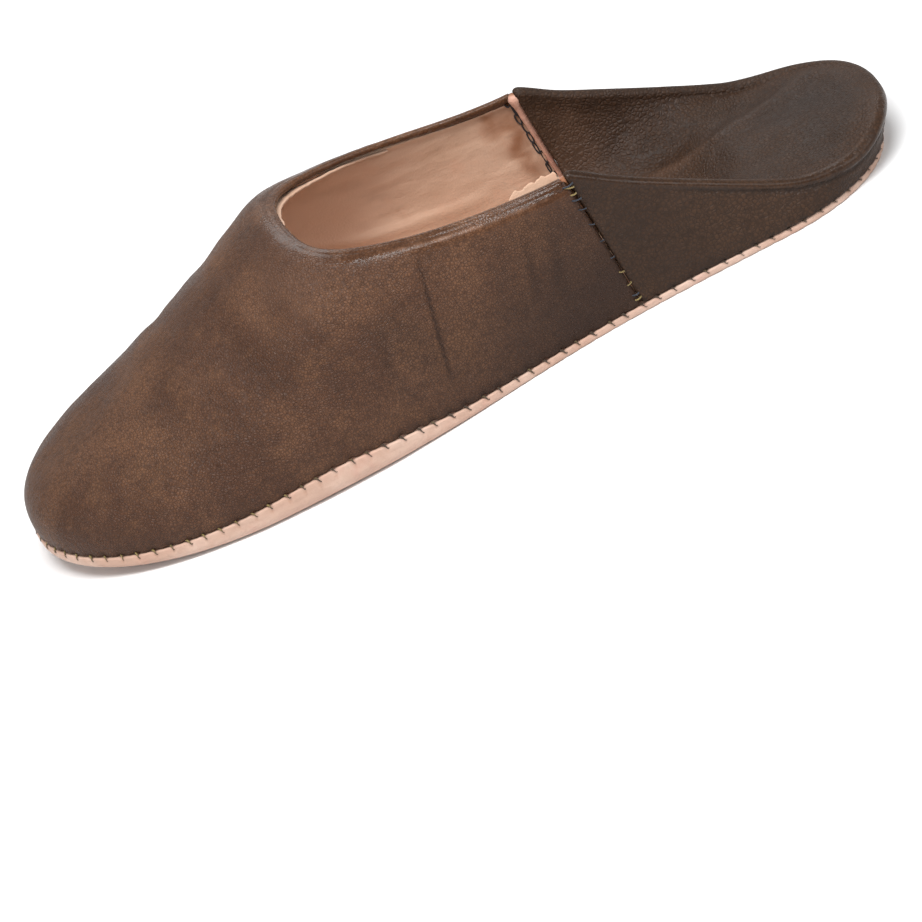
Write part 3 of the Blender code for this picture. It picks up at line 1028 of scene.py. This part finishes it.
def vamp_tone(co, relief, heights, to_edge):
    """Shade of each point, below 0 darker and above 0 lighter: painted shade in the troughs, along
    the foot and in the sharp wrinkles, painted highlight on raised parts and on a band below the
    collar, with random tone, a lighter collar edge, patches, and darker low down towards the seam.
    """
    tone = 0.10 * wave(co, 0.060, 9)
    # painted shade in the troughs of the relief, painted highlight on its raised parts
    tone += np.clip(relief / 0.0004, -1, 1) * np.where(relief < 0, 0.30, 0.12)
    # painted shade along the foot, where the vamp meets the sole
    tone -= 0.35 * bell(heights, 0.0022)
    tone += 0.10 * bell(to_edge, 0.0015)
    # painted highlight on a band below the collar's edge
    gloss_and_painted_highlight = bell(to_edge, 0.0007, 0.0036) * (0.7 + 0.5 * wave(co, 0.003, 18))
    tone += 0.62 * gloss_and_painted_highlight * beside_throat(co)
    for patch in VAMP_PATCHES:
        tone += patch.tone * blot(co, vamp_spot(patch.x, 1, patch.up), patch.size)
    tone -= 0.92 * np.clip((0.045 - co[:, 0]) / 0.075, 0, 1) * np.clip(1.2 - heights / 0.055, 0, 1)
    # painted shade: a dark line along each sharp wrinkle
    for wrinkle in VAMP_WRINKLES:
        if wrinkle.width < SHARP_WRINKLE:
            tone += crease(co, wrinkle_path(wrinkle), 0.55, 0.0005, 0.0)
    return tone


def hem_width(share):
    """How wide the lining's hem is below its cut edge, widest round the throat."""
    return 0.0022 + 0.0034 * math.sin(math.pi * min(max(share, 0.0), 1.0)) ** 2


# Where the lining turns in towards the insole, as x and up
TURN = ((0.050, 0.235), (0.034, 0.250), (0.010, 0.275), (-0.012, 0.300), (-0.030, 0.315))
LINING_TURN = smooth_path([vamp_spot(x, -1, up) for x, up in TURN], 40)

# Stains of the lining by the medial seam. ahead: how far in front of the seam.
Stain = namedtuple("Stain", "ahead up size tone")
LINING_STAINS = (Stain(0.0060, 0.52, 0.0070, -0.80), Stain(0.0110, 0.86, 0.0050, -0.60))


def lining_relief(co, to_edge, cut, below, front):
    """Hem and lengthwise wrinkles of the lining, towards the foot. cut and below: ways from the
    lining's cut edge and from its hem. front: 0 at the seams, 1 at the throat."""
    folds = 0.00022 * wave(co, 0.0058, 21, 3, along=0.35)
    folds += 0.00045 * wave(co, 0.019, 22, along=0.5)
    folds *= np.clip(to_edge / 0.008, 0.15, 1)
    raised = 1 / (1 + np.exp(np.clip(below / 0.00028, -50, 50)))
    hem = 0.00060 * raised - 0.00040 * bell(below, 0.0010)
    free = 0.00110 * front**4 * bell(np.maximum(cut, 0), 0.0024)
    return folds + hem * front**1.5 + free + crease(co, LINING_TURN, -0.0008, 0.0024, 0.0)


def lining_tone(co, cut, below, front, heights, folds):
    tone = -0.17 + 0.08 * wave(co, 0.012, 25, 3, along=0.4)
    # painted light: lighter towards the throat and toe, evening out the shade deep inside
    tone += 1.20 * np.clip((co[:, 0] + 0.040) / 0.080, 0, 1)
    # painted shade in the folds' troughs, painted highlight on their crests
    tone += np.clip(folds / 0.0005, -0.14, 0.14)
    tone += 0.30 * bell(cut, 0.0007, 0.0003)
    # painted shadow below the hem
    tone -= 0.50 * front**1.5 * bell(below, 0.0007)
    cloudy = 0.8 + 0.5 * wave(co, 0.004, 27)
    for stain in LINING_STAINS:
        place = vamp_spot(SEAM + stain.ahead, -1, stain.up)
        tone += stain.tone * blot(co, place, stain.size, (1.7, 1.0, 0.48)) * cloudy
    mark = vamp_spot(-0.002, -1, 0.34)
    tone -= 0.32 * blot(co, mark, 0.0011, (0.5, 1.0, 1.0))
    # painted shade along the lining's turn and along its foot by the insole
    tone -= 0.22 * bell(way_to(co, LINING_TURN)[0], 0.0008)
    tone -= 0.30 * bell(heights, 0.005)
    return tone


def build_lip(tree):
    """The leather turned over the collar's edge and down inside, as far as the lining's edge."""
    count = len(EDGE)
    found = [tree.find_nearest(Vector(spot)) for spot in EDGE]
    edge = np.array([spot for spot, _, _, _ in found])
    edge[1:-1] = (edge[:-2] + 2 * edge[1:-1] + edge[2:]) / 4
    along = normalised(np.gradient(edge, axis=0))
    normals = np.array([normal for _, normal, _, _ in found])
    for _ in range(3):
        normals[1:-1] = (normals[:-2] + 2 * normals[1:-1] + normals[2:]) / 4
    normals = normalised(normals)
    into = normalised(np.cross(normals, along))
    if into[count // 2][0] < 0:
        into = -into
    rows, tones = [], []
    half = LIP_WALL / 2
    for k, spot in enumerate(edge):
        share = k / (count - 1)
        out, deep = normals[k], into[k]
        row, shade = [], []

        def lay(depth, away, light=0.0):
            """A point at a way into the leather, at a distance from its outer face."""
            near, normal, _, _ = tree.find_nearest(Vector(spot + deep * depth))
            row.append(np.array(near) + np.array(normal) * away)
            shade.append(light)

        wobble = 0.00008 * noise.noise(Vector((k * 0.11, 1.0, 5.0)))
        lay(0.0040, -0.00030)
        lay(0.0030, -0.00004)
        lay(0.0021, 0.00008 + wobble)
        lay(0.0014, 0.00012 + wobble, 0.05)
        centre = spot + deep * LIP_ROUND - out * (half - 0.00006)
        for angle in range(0, 181, 15):
            turn = math.radians(angle)
            swell = (half + 0.00008 + wobble) * math.cos(turn)
            row.append(centre + out * swell - deep * LIP_ROUND * math.sin(turn))
            # painted highlight over the round top of the edge
            shade.append(0.16 * math.sin(turn))
        end = lining_edge(share) + 0.0011
        for s in (0.25, 0.5, 0.75, 1.0):
            depth = LIP_ROUND + (end - LIP_ROUND) * s
            # painted shade down the inside of the collar
            lay(depth, -LIP_WALL + 0.00006 - 0.00002 * s, -0.12)
        rows.append(row)
        tones.append(shade)
    sheet = Sheet(rows)
    lip = made_object(
        "collar_edge", sheet.co, sheet.polygons(), VAMP_FINISH, sheet.values(tones), 60,
        np.full(len(sheet.co), 0.9),
    )
    thicken(lip, 0.0005)


# Heel quarter
def quarter_profile(station):
    """Face side of the heel leather: up the wall, over the fold and down into the flap."""
    back = (SEAM - station.x) / (SEAM - HEEL_END)
    fold = Fold(back, *(through(column(FOLDS, "back", name), back) for name in Fold._fields[1:]))
    corner = SEAM_HEIGHT + QUARTER_RISE
    drop = fold.drop if station.side > 0 else 0.0
    top = HEEL_FOLD_HEIGHT + (corner - HEEL_FOLD_HEIGHT) * fold.height - drop
    inset = VAMP_INSET - (VAMP_INSET + HEEL_OVERHANG) * ease(back)
    base = (station.reach - inset, station.edge + CLEARANCE)
    outside = base[0] - fold.lean
    centre = (outside - FOLD_RADIUS, top - FOLD_RADIUS)
    floor = FLAP_FLOOR + FLAP_DOME * ease((DOME - station.spine) / (DOME - HEEL_CENTRE))
    low = (base[0], base[1] + (centre[1] - base[1]) * 0.4)
    high = (outside, centre[1] - (centre[1] - base[1]) * 0.3)
    turned = arc(centre, FOLD_RADIUS, 0, fold.turn, FOLD_COLUMNS)
    inner = turned[-1]
    tuck = max((inner[1] - floor) * fold.steep, FLAP_TUCK)
    heading = math.radians(fold.turn)
    down = (inner[0] - tuck * math.sin(heading), inner[1] + tuck * math.cos(heading))
    along = (inner[0] * fold.spread, floor)
    wall = (base, low, high, (outside, centre[1]))
    return wall, turned, (inner, down, along, (0.0, floor))


# Folds of the folded-down leather, in plan. A depth below 0 is a ridge, and the first is one.
FlapFold = namedtuple("FlapFold", "depth width path")
FLAP_FOLDS = (
    FlapFold(
        depth=-0.0012,
        width=0.0036,
        path=(
            (-0.064, -0.019), (-0.085, -0.0125), (-0.103, -0.0145), (-0.120, -0.0215),
            (-0.130, -0.028),
        ),
    ),
    FlapFold(
        depth=0.0010,
        width=0.0045,
        path=((-0.058, -0.024), (-0.084, -0.0205), (-0.100, -0.0225), (-0.116, -0.0285)),
    ),
    FlapFold(depth=0.0005, width=0.0070, path=((-0.070, 0.018), (-0.090, 0.014), (-0.106, 0.010))),
)


# Groove and bead along the fold on the lateral side, and the fill of the flap's hollow at the
# heel. place: how far from the crest, below 0 on the outside.
Roll = namedtuple("Roll", "height width place")
CREST_ROLLS = (Roll(-0.00055, 0.0009, -0.0044), Roll(0.00028, 0.0015, -0.0022))
HEEL_FILL = Roll(0.00105, 0.0042, 0.0066)


def flap_path(fold):
    return smooth_path([(x, y, 0.0) for x, y in fold.path], 30)


def build_quarter():
    first = SEAM - SEAM_OPENING * 1.3
    side_places = [first + (HEEL_CENTRE - first) * s for s in shares(70)[:-1]]
    stations = both_sides(side_places + heel_places(50)[::-1])[::-1]
    rows, ways, heights, crest = [], [], [], []
    for station in stations:
        wall, turned, flap = quarter_profile(station)
        base = wall[0]
        start = way_up(wall, base[1] + 0.0007)
        spots = [(base[0] - i, base[1] + h) for i, h in QUARTER_FOOT]
        spots += [on_curve(wall, start + (1 - start) * s) for s in shares(WALL_COLUMNS)[:-1]]
        spots += turned[:-1]
        spots += [on_curve(flap, s**1.15) for s in shares(FLAP_COLUMNS)]
        middle = len(QUARTER_FOOT) + WALL_COLUMNS + FOLD_COLUMNS // 2
        way = [0.0]
        for a, b in zip(spots, spots[1:]):
            way.append(way[-1] + math.hypot(b[0] - a[0], b[1] - a[1]))
        rows.append([station.point(*spot) for spot in spots])
        ways.append([outline_way(station)] * len(spots))
        heights.append([w - way[len(QUARTER_FOOT) - 2] for w in way])
        crest.append([w - way[middle] for w in way])
    sheet = Sheet(rows)
    plain = sheet.co.copy()
    normals = sheet.normals()
    ways, heights, crest = sheet.values(ways), sheet.values(heights), sheet.values(crest)

    back = -plain[:, 0]
    inside = ramp(crest, 0.004, 0.010)
    outside = ramp(-crest, 0.001, 0.005) * ramp(heights, 0, 0.006)
    flat = np.clip(np.abs(normals[:, 2]) * 1.8 - 0.75, 0, 1)
    # where the fold stands upright, wall and flap hardly dip towards each other
    relief = np.maximum(swells(plain, FLAP_SWELLS), -0.0001 - 0.002 * flat) * inside
    relief += np.maximum(swells(plain, WALL_SWELLS), -0.00005) * outside
    near_side = ramp(plain[:, 1], 0, 0.012)
    bead = near_side * ramp(back, 0.056, 0.080)
    for roll in CREST_ROLLS:
        relief += roll.height * bead * bell(crest, roll.width, roll.place)
    relief += HEEL_FILL.height * ramp(back, 0.085, 0.115) * bell(crest, *HEEL_FILL[1:])
    plan = plain * np.array((1.0, 1.0, 0.0))
    for fold in FLAP_FOLDS:
        relief += crease(plan, flap_path(fold), fold.depth, fold.width, 0.0) * inside * flat
    low = bell(heights, 0.0018) * (crest < -0.004)
    relief += low * (QUARTER_PUFF - QUARTER_PUCKER * pulls(ways))
    relief += seam_tuck(sheet.from_ends(20)) * (crest < 0.006)
    sheet.co = plain + normals * relief[:, None]

    tone = 0.10 * wave(plain, 0.050, 39)
    # painted shade in the relief's troughs, a little painted light on its raised parts
    tone += np.clip(relief / 0.0010, -0.25, 0.05) * (1 - 0.7 * inside)
    # painted shade along the foot by the sole
    tone -= 0.30 * bell(heights, 0.0020)
    worn = near_side * (0.6 + 0.4 * wave(plain, 0.006, 40))
    worn *= np.clip((0.136 - back) / 0.034, 0.15, 1)
    tone += 0.34 * worn * bell(crest, 0.0011, 0.0014)
    # painted shade in the groove below the fold
    tone -= 0.30 * bead * bell(crest, 0.0008, -0.0044)
    patchy = 0.8 + 0.4 * wave(plain, 0.005, 47)
    polish = 1.15 * near_side * bell(crest, 0.0028, -0.0020) * patchy
    ridge_off, ridge_share = way_to(plan, flap_path(FLAP_FOLDS[0]))
    ridge = np.sin(np.pi * np.clip(ridge_share, 0, 1)) ** 0.5 * inside * flat
    # painted highlight along the flap's ridge
    tone += 0.20 * bell(ridge_off, 0.0020) * ridge
    polish += 0.30 * bell(ridge_off, 0.0030) * ridge
    # painted shade on the flap's heel end, and painted sheen towards its seam end
    tone -= 0.44 * ramp(back, 0.082, 0.122) * inside
    tone += 0.16 * ramp(-back, -0.090, -0.060) * inside
    polygons = sheet.polygons()
    quarter = made_object("quarter_skin", sheet.co, polygons, QUARTER_FINISH, tone, 60, polish)
    thicken(quarter, QUARTER_LEATHER)
    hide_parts("heel_quarter")


# Sole and insole
def build_sole():
    rows, ways, levels = [], [], []
    # tight: 1 where a stitch pulls. rim: top of the side, dented at each stitch.
    for station in sole_stations(380, 96):
        edge, reach = station.edge, station.reach
        way = outline_way(station)
        tight = pull(way, 0.0008)
        broad = pull(way, 0.0020)
        tread_round = edge * 0.52
        inner = reach - SOLE_SHELF
        rim = edge + 0.00018 - 0.00048 * tight
        spots = [(reach * s, 0.0) for s in (0.0, 0.35, 0.65, 0.85)]
        spots += arc((reach - tread_round, tread_round), tread_round, -90, 0, 9)
        rise = rim - SOLE_EDGE_RADIUS
        spots += [(reach, tread_round + (rise - tread_round) * s) for s in (0.35, 0.7)]
        spots += arc((reach - SOLE_EDGE_RADIUS, rise), SOLE_EDGE_RADIUS, 0, 90, 7)
        spots += [(reach - 0.0020, rim - 0.0002), (inner, edge - 0.0001)]
        spots += [(inner - SOLE_EDGE_RADIUS, SOLE_THICKNESS)]
        spots += [(reach * 0.5, SOLE_THICKNESS), (0.0, SOLE_THICKNESS)]
        row, level = [], []
        for r, h in spots:
            near_rim = math.exp(-(((h - rim) / 0.0016) ** 2))
            dent = -0.00042 * tight * near_rim - 0.00012 * broad * near_rim
            if r > reach * 0.97 and h > 0.0004:
                lumps = 0.00028 * noise.noise(Vector(station.point(r, h)) / 0.017)
                dent += lumps * min(h / 0.002, 1.0)
            row.append(station.point(r + dent, h))
            level.append(h / rim)
        rows.append(row)
        ways.append([way] * len(row))
        levels.append(level)
    sheet = Sheet(rows)
    ways, levels = sheet.values(ways), sheet.values(levels)
    tight = pulls(ways, 0.0007)
    tone = 0.12 * wave(sheet.co, 0.020, 51, 3)
    # painted shade in the dents where the stitches pull
    tone -= 0.35 * tight * bell(levels, 0.14, 0.80)
    # painted highlight along the rim's lip between the stitches
    tone += 0.22 * bell(levels, 0.05, 0.98) * (1 - tight)
    tone -= 0.20 * bell(levels, 0.12)
    sole = made_object("sole_leather", sheet.co, sheet.polygons(), SOLE_FINISH, tone, 50)
    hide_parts("outsole")


def build_insole():
    rows = []
    for station in sole_stations(150, 36):
        reach = station.reach - SOLE_SHELF - SOLE_EDGE_RADIUS - CLEARANCE
        spots = [(0.0, INSOLE_BASE), (reach * 0.5, INSOLE_BASE), (reach, INSOLE_BASE)]
        spots += arc((reach - INSOLE_ROUND, INSOLE_TOP - INSOLE_ROUND), INSOLE_ROUND, 0, 90, 6)
        spots += [(reach * (1 - 0.1 * k), INSOLE_TOP) for k in range(1, 10)] + [(0.0, INSOLE_TOP)]
        rows.append([station.point(*spot) for spot in spots])
    sheet = Sheet(rows)
    normals = sheet.normals()
    top = np.clip((sheet.co[:, 2] - INSOLE_TOP + 0.001) / 0.001, 0, 1)
    relief = (0.00030 * wave(sheet.co, 0.014, 61, 3, along=0.5) - 0.0001) * top
    sheet.co = sheet.co + normals * relief[:, None]
    tone = -0.18 + 0.18 * wave(sheet.co, 0.016, 62, 3, along=0.5)
    insole = made_object("insole_cover", sheet.co, sheet.polygons(), LINING_FINISH, tone)
    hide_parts("insole")


# Stitches
def build_sole_stitches():
    """Whip stitches over the sole's rim, smaller along the quarter and dark behind the toe."""
    parts, tones = [], []
    for way in STITCHES:
        x = outline_station(way).x
        size = 0.60 if x < SEAM else 0.80
        lean = STITCH_LEAN * chance.uniform(0.5, 1.3)
        wide = THREAD * chance.uniform(0.72, 1.0) * size
        up = 0.0005 * size * chance.uniform(0.7, 1.2)
        down = 0.0013 * size * chance.uniform(0.75, 1.25)
        # how far out from the rim, how far over it, and how far along by the stitch's lean
        places = (
            (-0.0019, up, -1.0),
            (-0.0011, up * 0.92, -0.8),
            (-0.00085, up * 0.45, -0.3),
            (-0.00045, -0.0002, 0.1),
            (-0.00005, -0.0009, 0.5),
            (-0.00010, -down, 0.9),
            (-0.00080, -down - 0.0003, 1.0),
        )
        path = []
        for reach, height, along in places:
            here = outline_station(way + along * lean)
            path.append(here.point(here.reach + reach, here.edge + height + 0.0002))
        taper = [wide * (1.15 - 0.55 * ease((s - 0.35) / 0.35)) for s in shares(12)]
        parts.append(tube(smooth_path(path, 12), taper, 7))
        shown = max(ease((x - 0.045) / 0.040), 0.35 if chance.random() < 0.3 else 0.0)
        for k in range(len(parts[-1][0])):
            tones.append(shown * (1 - 0.8 * ease((k // 7 - 4) / 4)) - 1)
    made_object("sole_stitches", *joined(parts), SOLE_THREAD, tones)


def seam_frame(side, up):
    """A point of the vamp's outer face at the seam, its outward direction, and along the shoe."""
    spot = Vector(vamp_spot(SEAM, side, up))
    above = Vector(vamp_spot(SEAM, side, min(up + 0.02, 1.0)))
    below = Vector(vamp_spot(SEAM, side, max(up - 0.02, 0.0)))
    ahead = (Vector(vamp_spot(SEAM + 0.004, side, up)) - spot).normalized()
    rise = (above - below).normalized()
    out = ahead.cross(rise).normalized()
    if out.y * side < 0:
        out = -out
    return spot, out, ahead, rise


# up: share of the seam's height. reach: how far each side of the seam a loop goes.
Loop = namedtuple("Loop", "up reach lift blue")
SEAM_LOOPS = (
    Loop(0.935, 0.0016, 0.00070, True),
    Loop(0.918, 0.0013, 0.00060, False),
    Loop(0.860, 0.0009, 0.00040, False),
    Loop(0.815, 0.0014, 0.00055, True),
    Loop(0.735, 0.0011, 0.00030, True),
    Loop(0.610, 0.0007, 0.00010, True),
    Loop(0.480, 0.0006, 0.00005, True),
    Loop(0.350, 0.0006, 0.00005, True),
    Loop(0.240, 0.0007, 0.00010, False),
    Loop(0.150, 0.0008, 0.00020, False),
    Loop(0.075, 0.0010, 0.00040, True),
    Loop(0.045, 0.0010, 0.00050, False),
)


def build_seam_stitches():
    blue, olive = [], []
    for side in (1, -1):
        for loop in SEAM_LOOPS:
            spot, out, ahead, rise = seam_frame(side, loop.up)
            turn = chance.uniform(-0.3, 0.5) * loop.reach
            path = [
                spot + ahead * (-loop.reach) - out * 0.0006 - rise * turn,
                spot + ahead * (-loop.reach * 0.85) + out * 0.00005 - rise * turn * 0.8,
                spot + out * loop.lift,
                spot + ahead * (loop.reach * 0.85) + out * 0.00010 + rise * turn * 0.8,
                spot + ahead * loop.reach - out * 0.0006 + rise * turn,
            ]
            thick = SEAM_THREAD if loop.lift > 0.0003 else SEAM_THREAD * 0.68
            (blue if loop.blue else olive).append(tube(smooth_path(path, 12), thick, 7))
    made_object("seam_stitches_blue", *joined(blue), BLUE_THREAD)
    made_object("seam_stitches_olive", *joined(olive), SOLE_THREAD)


def build_inner_seam():
    """Raw edges of the seam inside the shoe, and the black stitches that hold them."""
    edges, tones, links = [], [], []
    for side in (1, -1):
        path, sizes = [], []
        for share in shares(40):
            up = 0.16 + 0.835 * share
            spot, out, ahead, rise = seam_frame(side, up)
            wobble = 0.00025 * noise.noise(Vector((share * 9, side * 3.0, 2.0)))
            deep = 0.0033 + wobble
            path.append(spot - out * deep + ahead * (0.0004 + wobble) - rise * 0.0004)
            end = min(1.0, (1 - share) * 12 + 0.55) * min(1.0, share * 8 + 0.3)
            broad = 0.00085 + 0.00065 * share**2 + 0.00055 * ease((share - 0.86) / 0.12)
            sizes.append(broad * end * (1 + 0.14 * noise.noise(Vector((share * 22, side, 8.0)))))
        edges.append(tube(path, sizes, 12))
        out_side = Vector((0.0, float(side), 0.0))
        for k, spot in enumerate(edges[-1][0]):
            middle = path[k // 12]
            facing = (Vector(spot) - middle).normalized().dot(out_side)
            share = (k // 12) / 40
            pink = 0.25 * noise.noise(Vector(spot) / 0.003)
            # painted shade: the raw edge's outward face, seen through the seam's gap, is made dark
            tones.append(-1.0 if facing > 0.0 else 0.10 - 0.30 * (1 - share) + pink)
        for k in range(CHAIN_LINKS):
            up = 0.93 - 0.085 * k
            drift = 0.0026 - 0.0001 * k + 0.0005 * chance.uniform(-1, 1)
            spot, out, ahead, rise = seam_frame(side, up)
            middle = spot - out * (SKIN_THICKNESS + LINING_THICKNESS + 0.00025) + ahead * drift
            long, broad = 0.0022 * chance.uniform(0.8, 1.2), 0.00060 * chance.uniform(0.3, 1.3)
            loop_path = []
            for step in range(13):
                turn = 2 * math.pi * (step / 12 * 0.94 + 0.03)
                reach = rise * (long * math.cos(turn)) + ahead * (broad * math.sin(turn))
                loop_path.append(middle + reach - out * 0.00015 * math.cos(2 * turn))
            links.append(tube(loop_path, CHAIN_THREAD, 7))
    made_object("seam_raw_edges", *joined(edges), RAW_FINISH, tones)
    made_object("inner_chain_stitches", *joined(links), BLACK_THREAD)


# A strip of lining that shows past the collar's edge. first, last: shares of the edge's length
# from the lateral seam. tall: how far it stands past the edge. lean: how far it lies inside.
# wavy: how uneven its free edge is. tone: its shade.
Strip = namedtuple("Strip", "name first last tall lean wavy tone")
LINING_STRIPS = (
    Strip("lining_tab", 0.002, 0.105, 0.0022, 0.0034, 0.45, -0.16),
    Strip("lining_hem", 0.330, 0.800, 0.0006, 0.0028, 0.30, -0.34),
)


def build_lining_strip(tree, strip):
    """A strip of lining inside the collar, with a torn free edge, sinking away at its ends."""
    rows, tones = [], []
    count = 160
    for k in range(count + 1):
        share = k / count
        at = (strip.first + (strip.last - strip.first) * share) * (len(EDGE) - 1)
        i = min(int(at), len(EDGE) - 2)
        spot = EDGE[i] + (EDGE[i + 1] - EDGE[i]) * (at - i)
        near, normal, _, _ = tree.find_nearest(Vector(spot))
        along = Vector(EDGE[i + 1] - EDGE[i]).normalized()
        away = normal.cross(along).normalized()
        if away.z < 0 and abs(away.z) > abs(away.x) or away.x > 0 and abs(away.x) >= abs(away.z):
            away = -away
        long = (strip.last - strip.first) * share
        waves = noise.noise(Vector((long * 60, 2.0, 6.0)))
        waves += 0.5 * noise.noise(Vector((at * 0.4, 1, 3)))
        ends = ease(share * 12 + 0.2) * ease((1 - share) * 2.2)
        tall = strip.tall * (1 - strip.wavy * 0.5 + strip.wavy * waves) * ends
        row = []
        for s in (0.0, 0.25, 0.5, 0.75, 0.92, 1.0):
            lean = 0.0016 + (strip.lean - 0.0016) * min(ends * 1.6, 1.0)
            lean += 0.0008 * s + 0.0002 * noise.noise(Vector((at * 0.25, s, 9.0)))
            top = tall - 0.0034 * (1 - min(ends * 1.3, 1.0))
            reach = -STRIP_DEPTH + (STRIP_DEPTH + top) * s
            row.append(tuple(near + away * reach - normal * lean))
            # painted shade: darker deeper down the strip, lighter at its free edge
            tones.append(strip.tone + 0.14 * s)
        rows.append(row)
    sheet = Sheet(rows)
    tones = sheet.values(np.array(tones).reshape(len(rows), -1))
    made = made_object(strip.name, sheet.co, sheet.polygons(), LINING_FINISH, tones)
    thicken(made, STRIP_WALL, 0.0)


# Camera, light and floor. Angles are in degrees, and the rest in metres.
CAMERA_HEIGHT_ANGLE = 28.5
CAMERA_ROLL = 27.42
CAMERA_DISTANCE = 1.9
CAMERA_FOCUS = (0.0201, 0.0227, -0.0234)
PICTURE_WIDTH = 0.2742


def build_camera():
    e, a = math.radians(CAMERA_HEIGHT_ANGLE), math.radians(CAMERA_ROLL)
    back = Vector((0.0, math.cos(e), math.sin(e)))
    right = Vector((-1.0, 0.0, 0.0))
    up = Vector((0.0, -math.sin(e), math.cos(e)))
    across = right * math.cos(a) - up * math.sin(a)
    upright = right * math.sin(a) + up * math.cos(a)
    data = bpy.data.cameras.new("camera")
    data.sensor_width = 36.0
    data.lens = data.sensor_width * CAMERA_DISTANCE / PICTURE_WIDTH
    data.clip_start = 0.05
    data.clip_end = 20.0
    camera = bpy.data.objects.new("camera", data)
    place = Vector(CAMERA_FOCUS) + back * CAMERA_DISTANCE
    turn = Matrix((across, upright, back)).transposed().to_4x4()
    camera.matrix_world = Matrix.Translation(place) @ turn
    bpy.context.scene.collection.objects.link(camera)
    bpy.context.scene.camera = camera


Lamp = namedtuple("Lamp", "name place size power")
LAMPS = (
    Lamp("key", (0.05, 0.55, 1.35), (1.00, 0.30), 21.0),
    Lamp("heel side", (-1.15, 0.75, 0.95), (0.8, 0.8), 6.2),
    Lamp("toe side", (1.3, 0.9, 0.7), (1.0, 1.0), 6.0),
    Lamp("back", (-0.3, -1.2, 1.2), (0.9, 0.6), 7.0),
)
LAMP_TARGET = (0.0, 0.0, 0.02)
SKY_STRENGTH = 0.50
FLOOR_REACH = 4.0


def area_light(name, place, size, power):
    data = bpy.data.lights.new(name, "AREA")
    data.shape = "RECTANGLE"
    data.size, data.size_y = size
    data.energy = power
    lamp = bpy.data.objects.new(name, data)
    aim = (Vector(LAMP_TARGET) - Vector(place)).to_track_quat("-Z", "Y")
    lamp.matrix_world = Matrix.Translation(place) @ aim.to_matrix().to_4x4()
    bpy.context.scene.collection.objects.link(lamp)


def build_stage():
    mesh = bpy.data.meshes.new("floor")
    far = FLOOR_REACH
    corners = [(-far, -far, 0), (far, -far, 0), (far, far, 0), (-far, far, 0)]
    mesh.from_pydata(corners, [], [(0, 1, 2, 3)])
    m = Maker("floor_paper", 0.9, specular=0.1)
    tint = m.noise(0.30, 2.0, 0.5)
    mesh.materials.append(m.finish(m.mix(tint, (0.84, 0.84, 0.845), (0.87, 0.87, 0.87))))
    floor = bpy.data.objects.new("floor", mesh)
    bpy.context.scene.collection.objects.link(floor)
    for lamp in LAMPS:
        area_light(*lamp)
    world = bpy.data.worlds.new("studio")
    world.use_nodes = True
    sky = world.node_tree.nodes["Background"]
    sky.inputs["Color"].default_value = (1.0, 1.0, 1.0, 1.0)
    sky.inputs["Strength"].default_value = SKY_STRENGTH
    bpy.context.scene.world = world
    bpy.context.scene.view_settings.view_transform = "Standard"


vamp_tree = build_vamp()
build_lip(vamp_tree)
for lining_strip in LINING_STRIPS:
    build_lining_strip(vamp_tree, lining_strip)
build_quarter()
build_sole()
build_insole()
build_sole_stitches()
build_seam_stitches()
build_inner_seam()
build_camera()
build_stage()
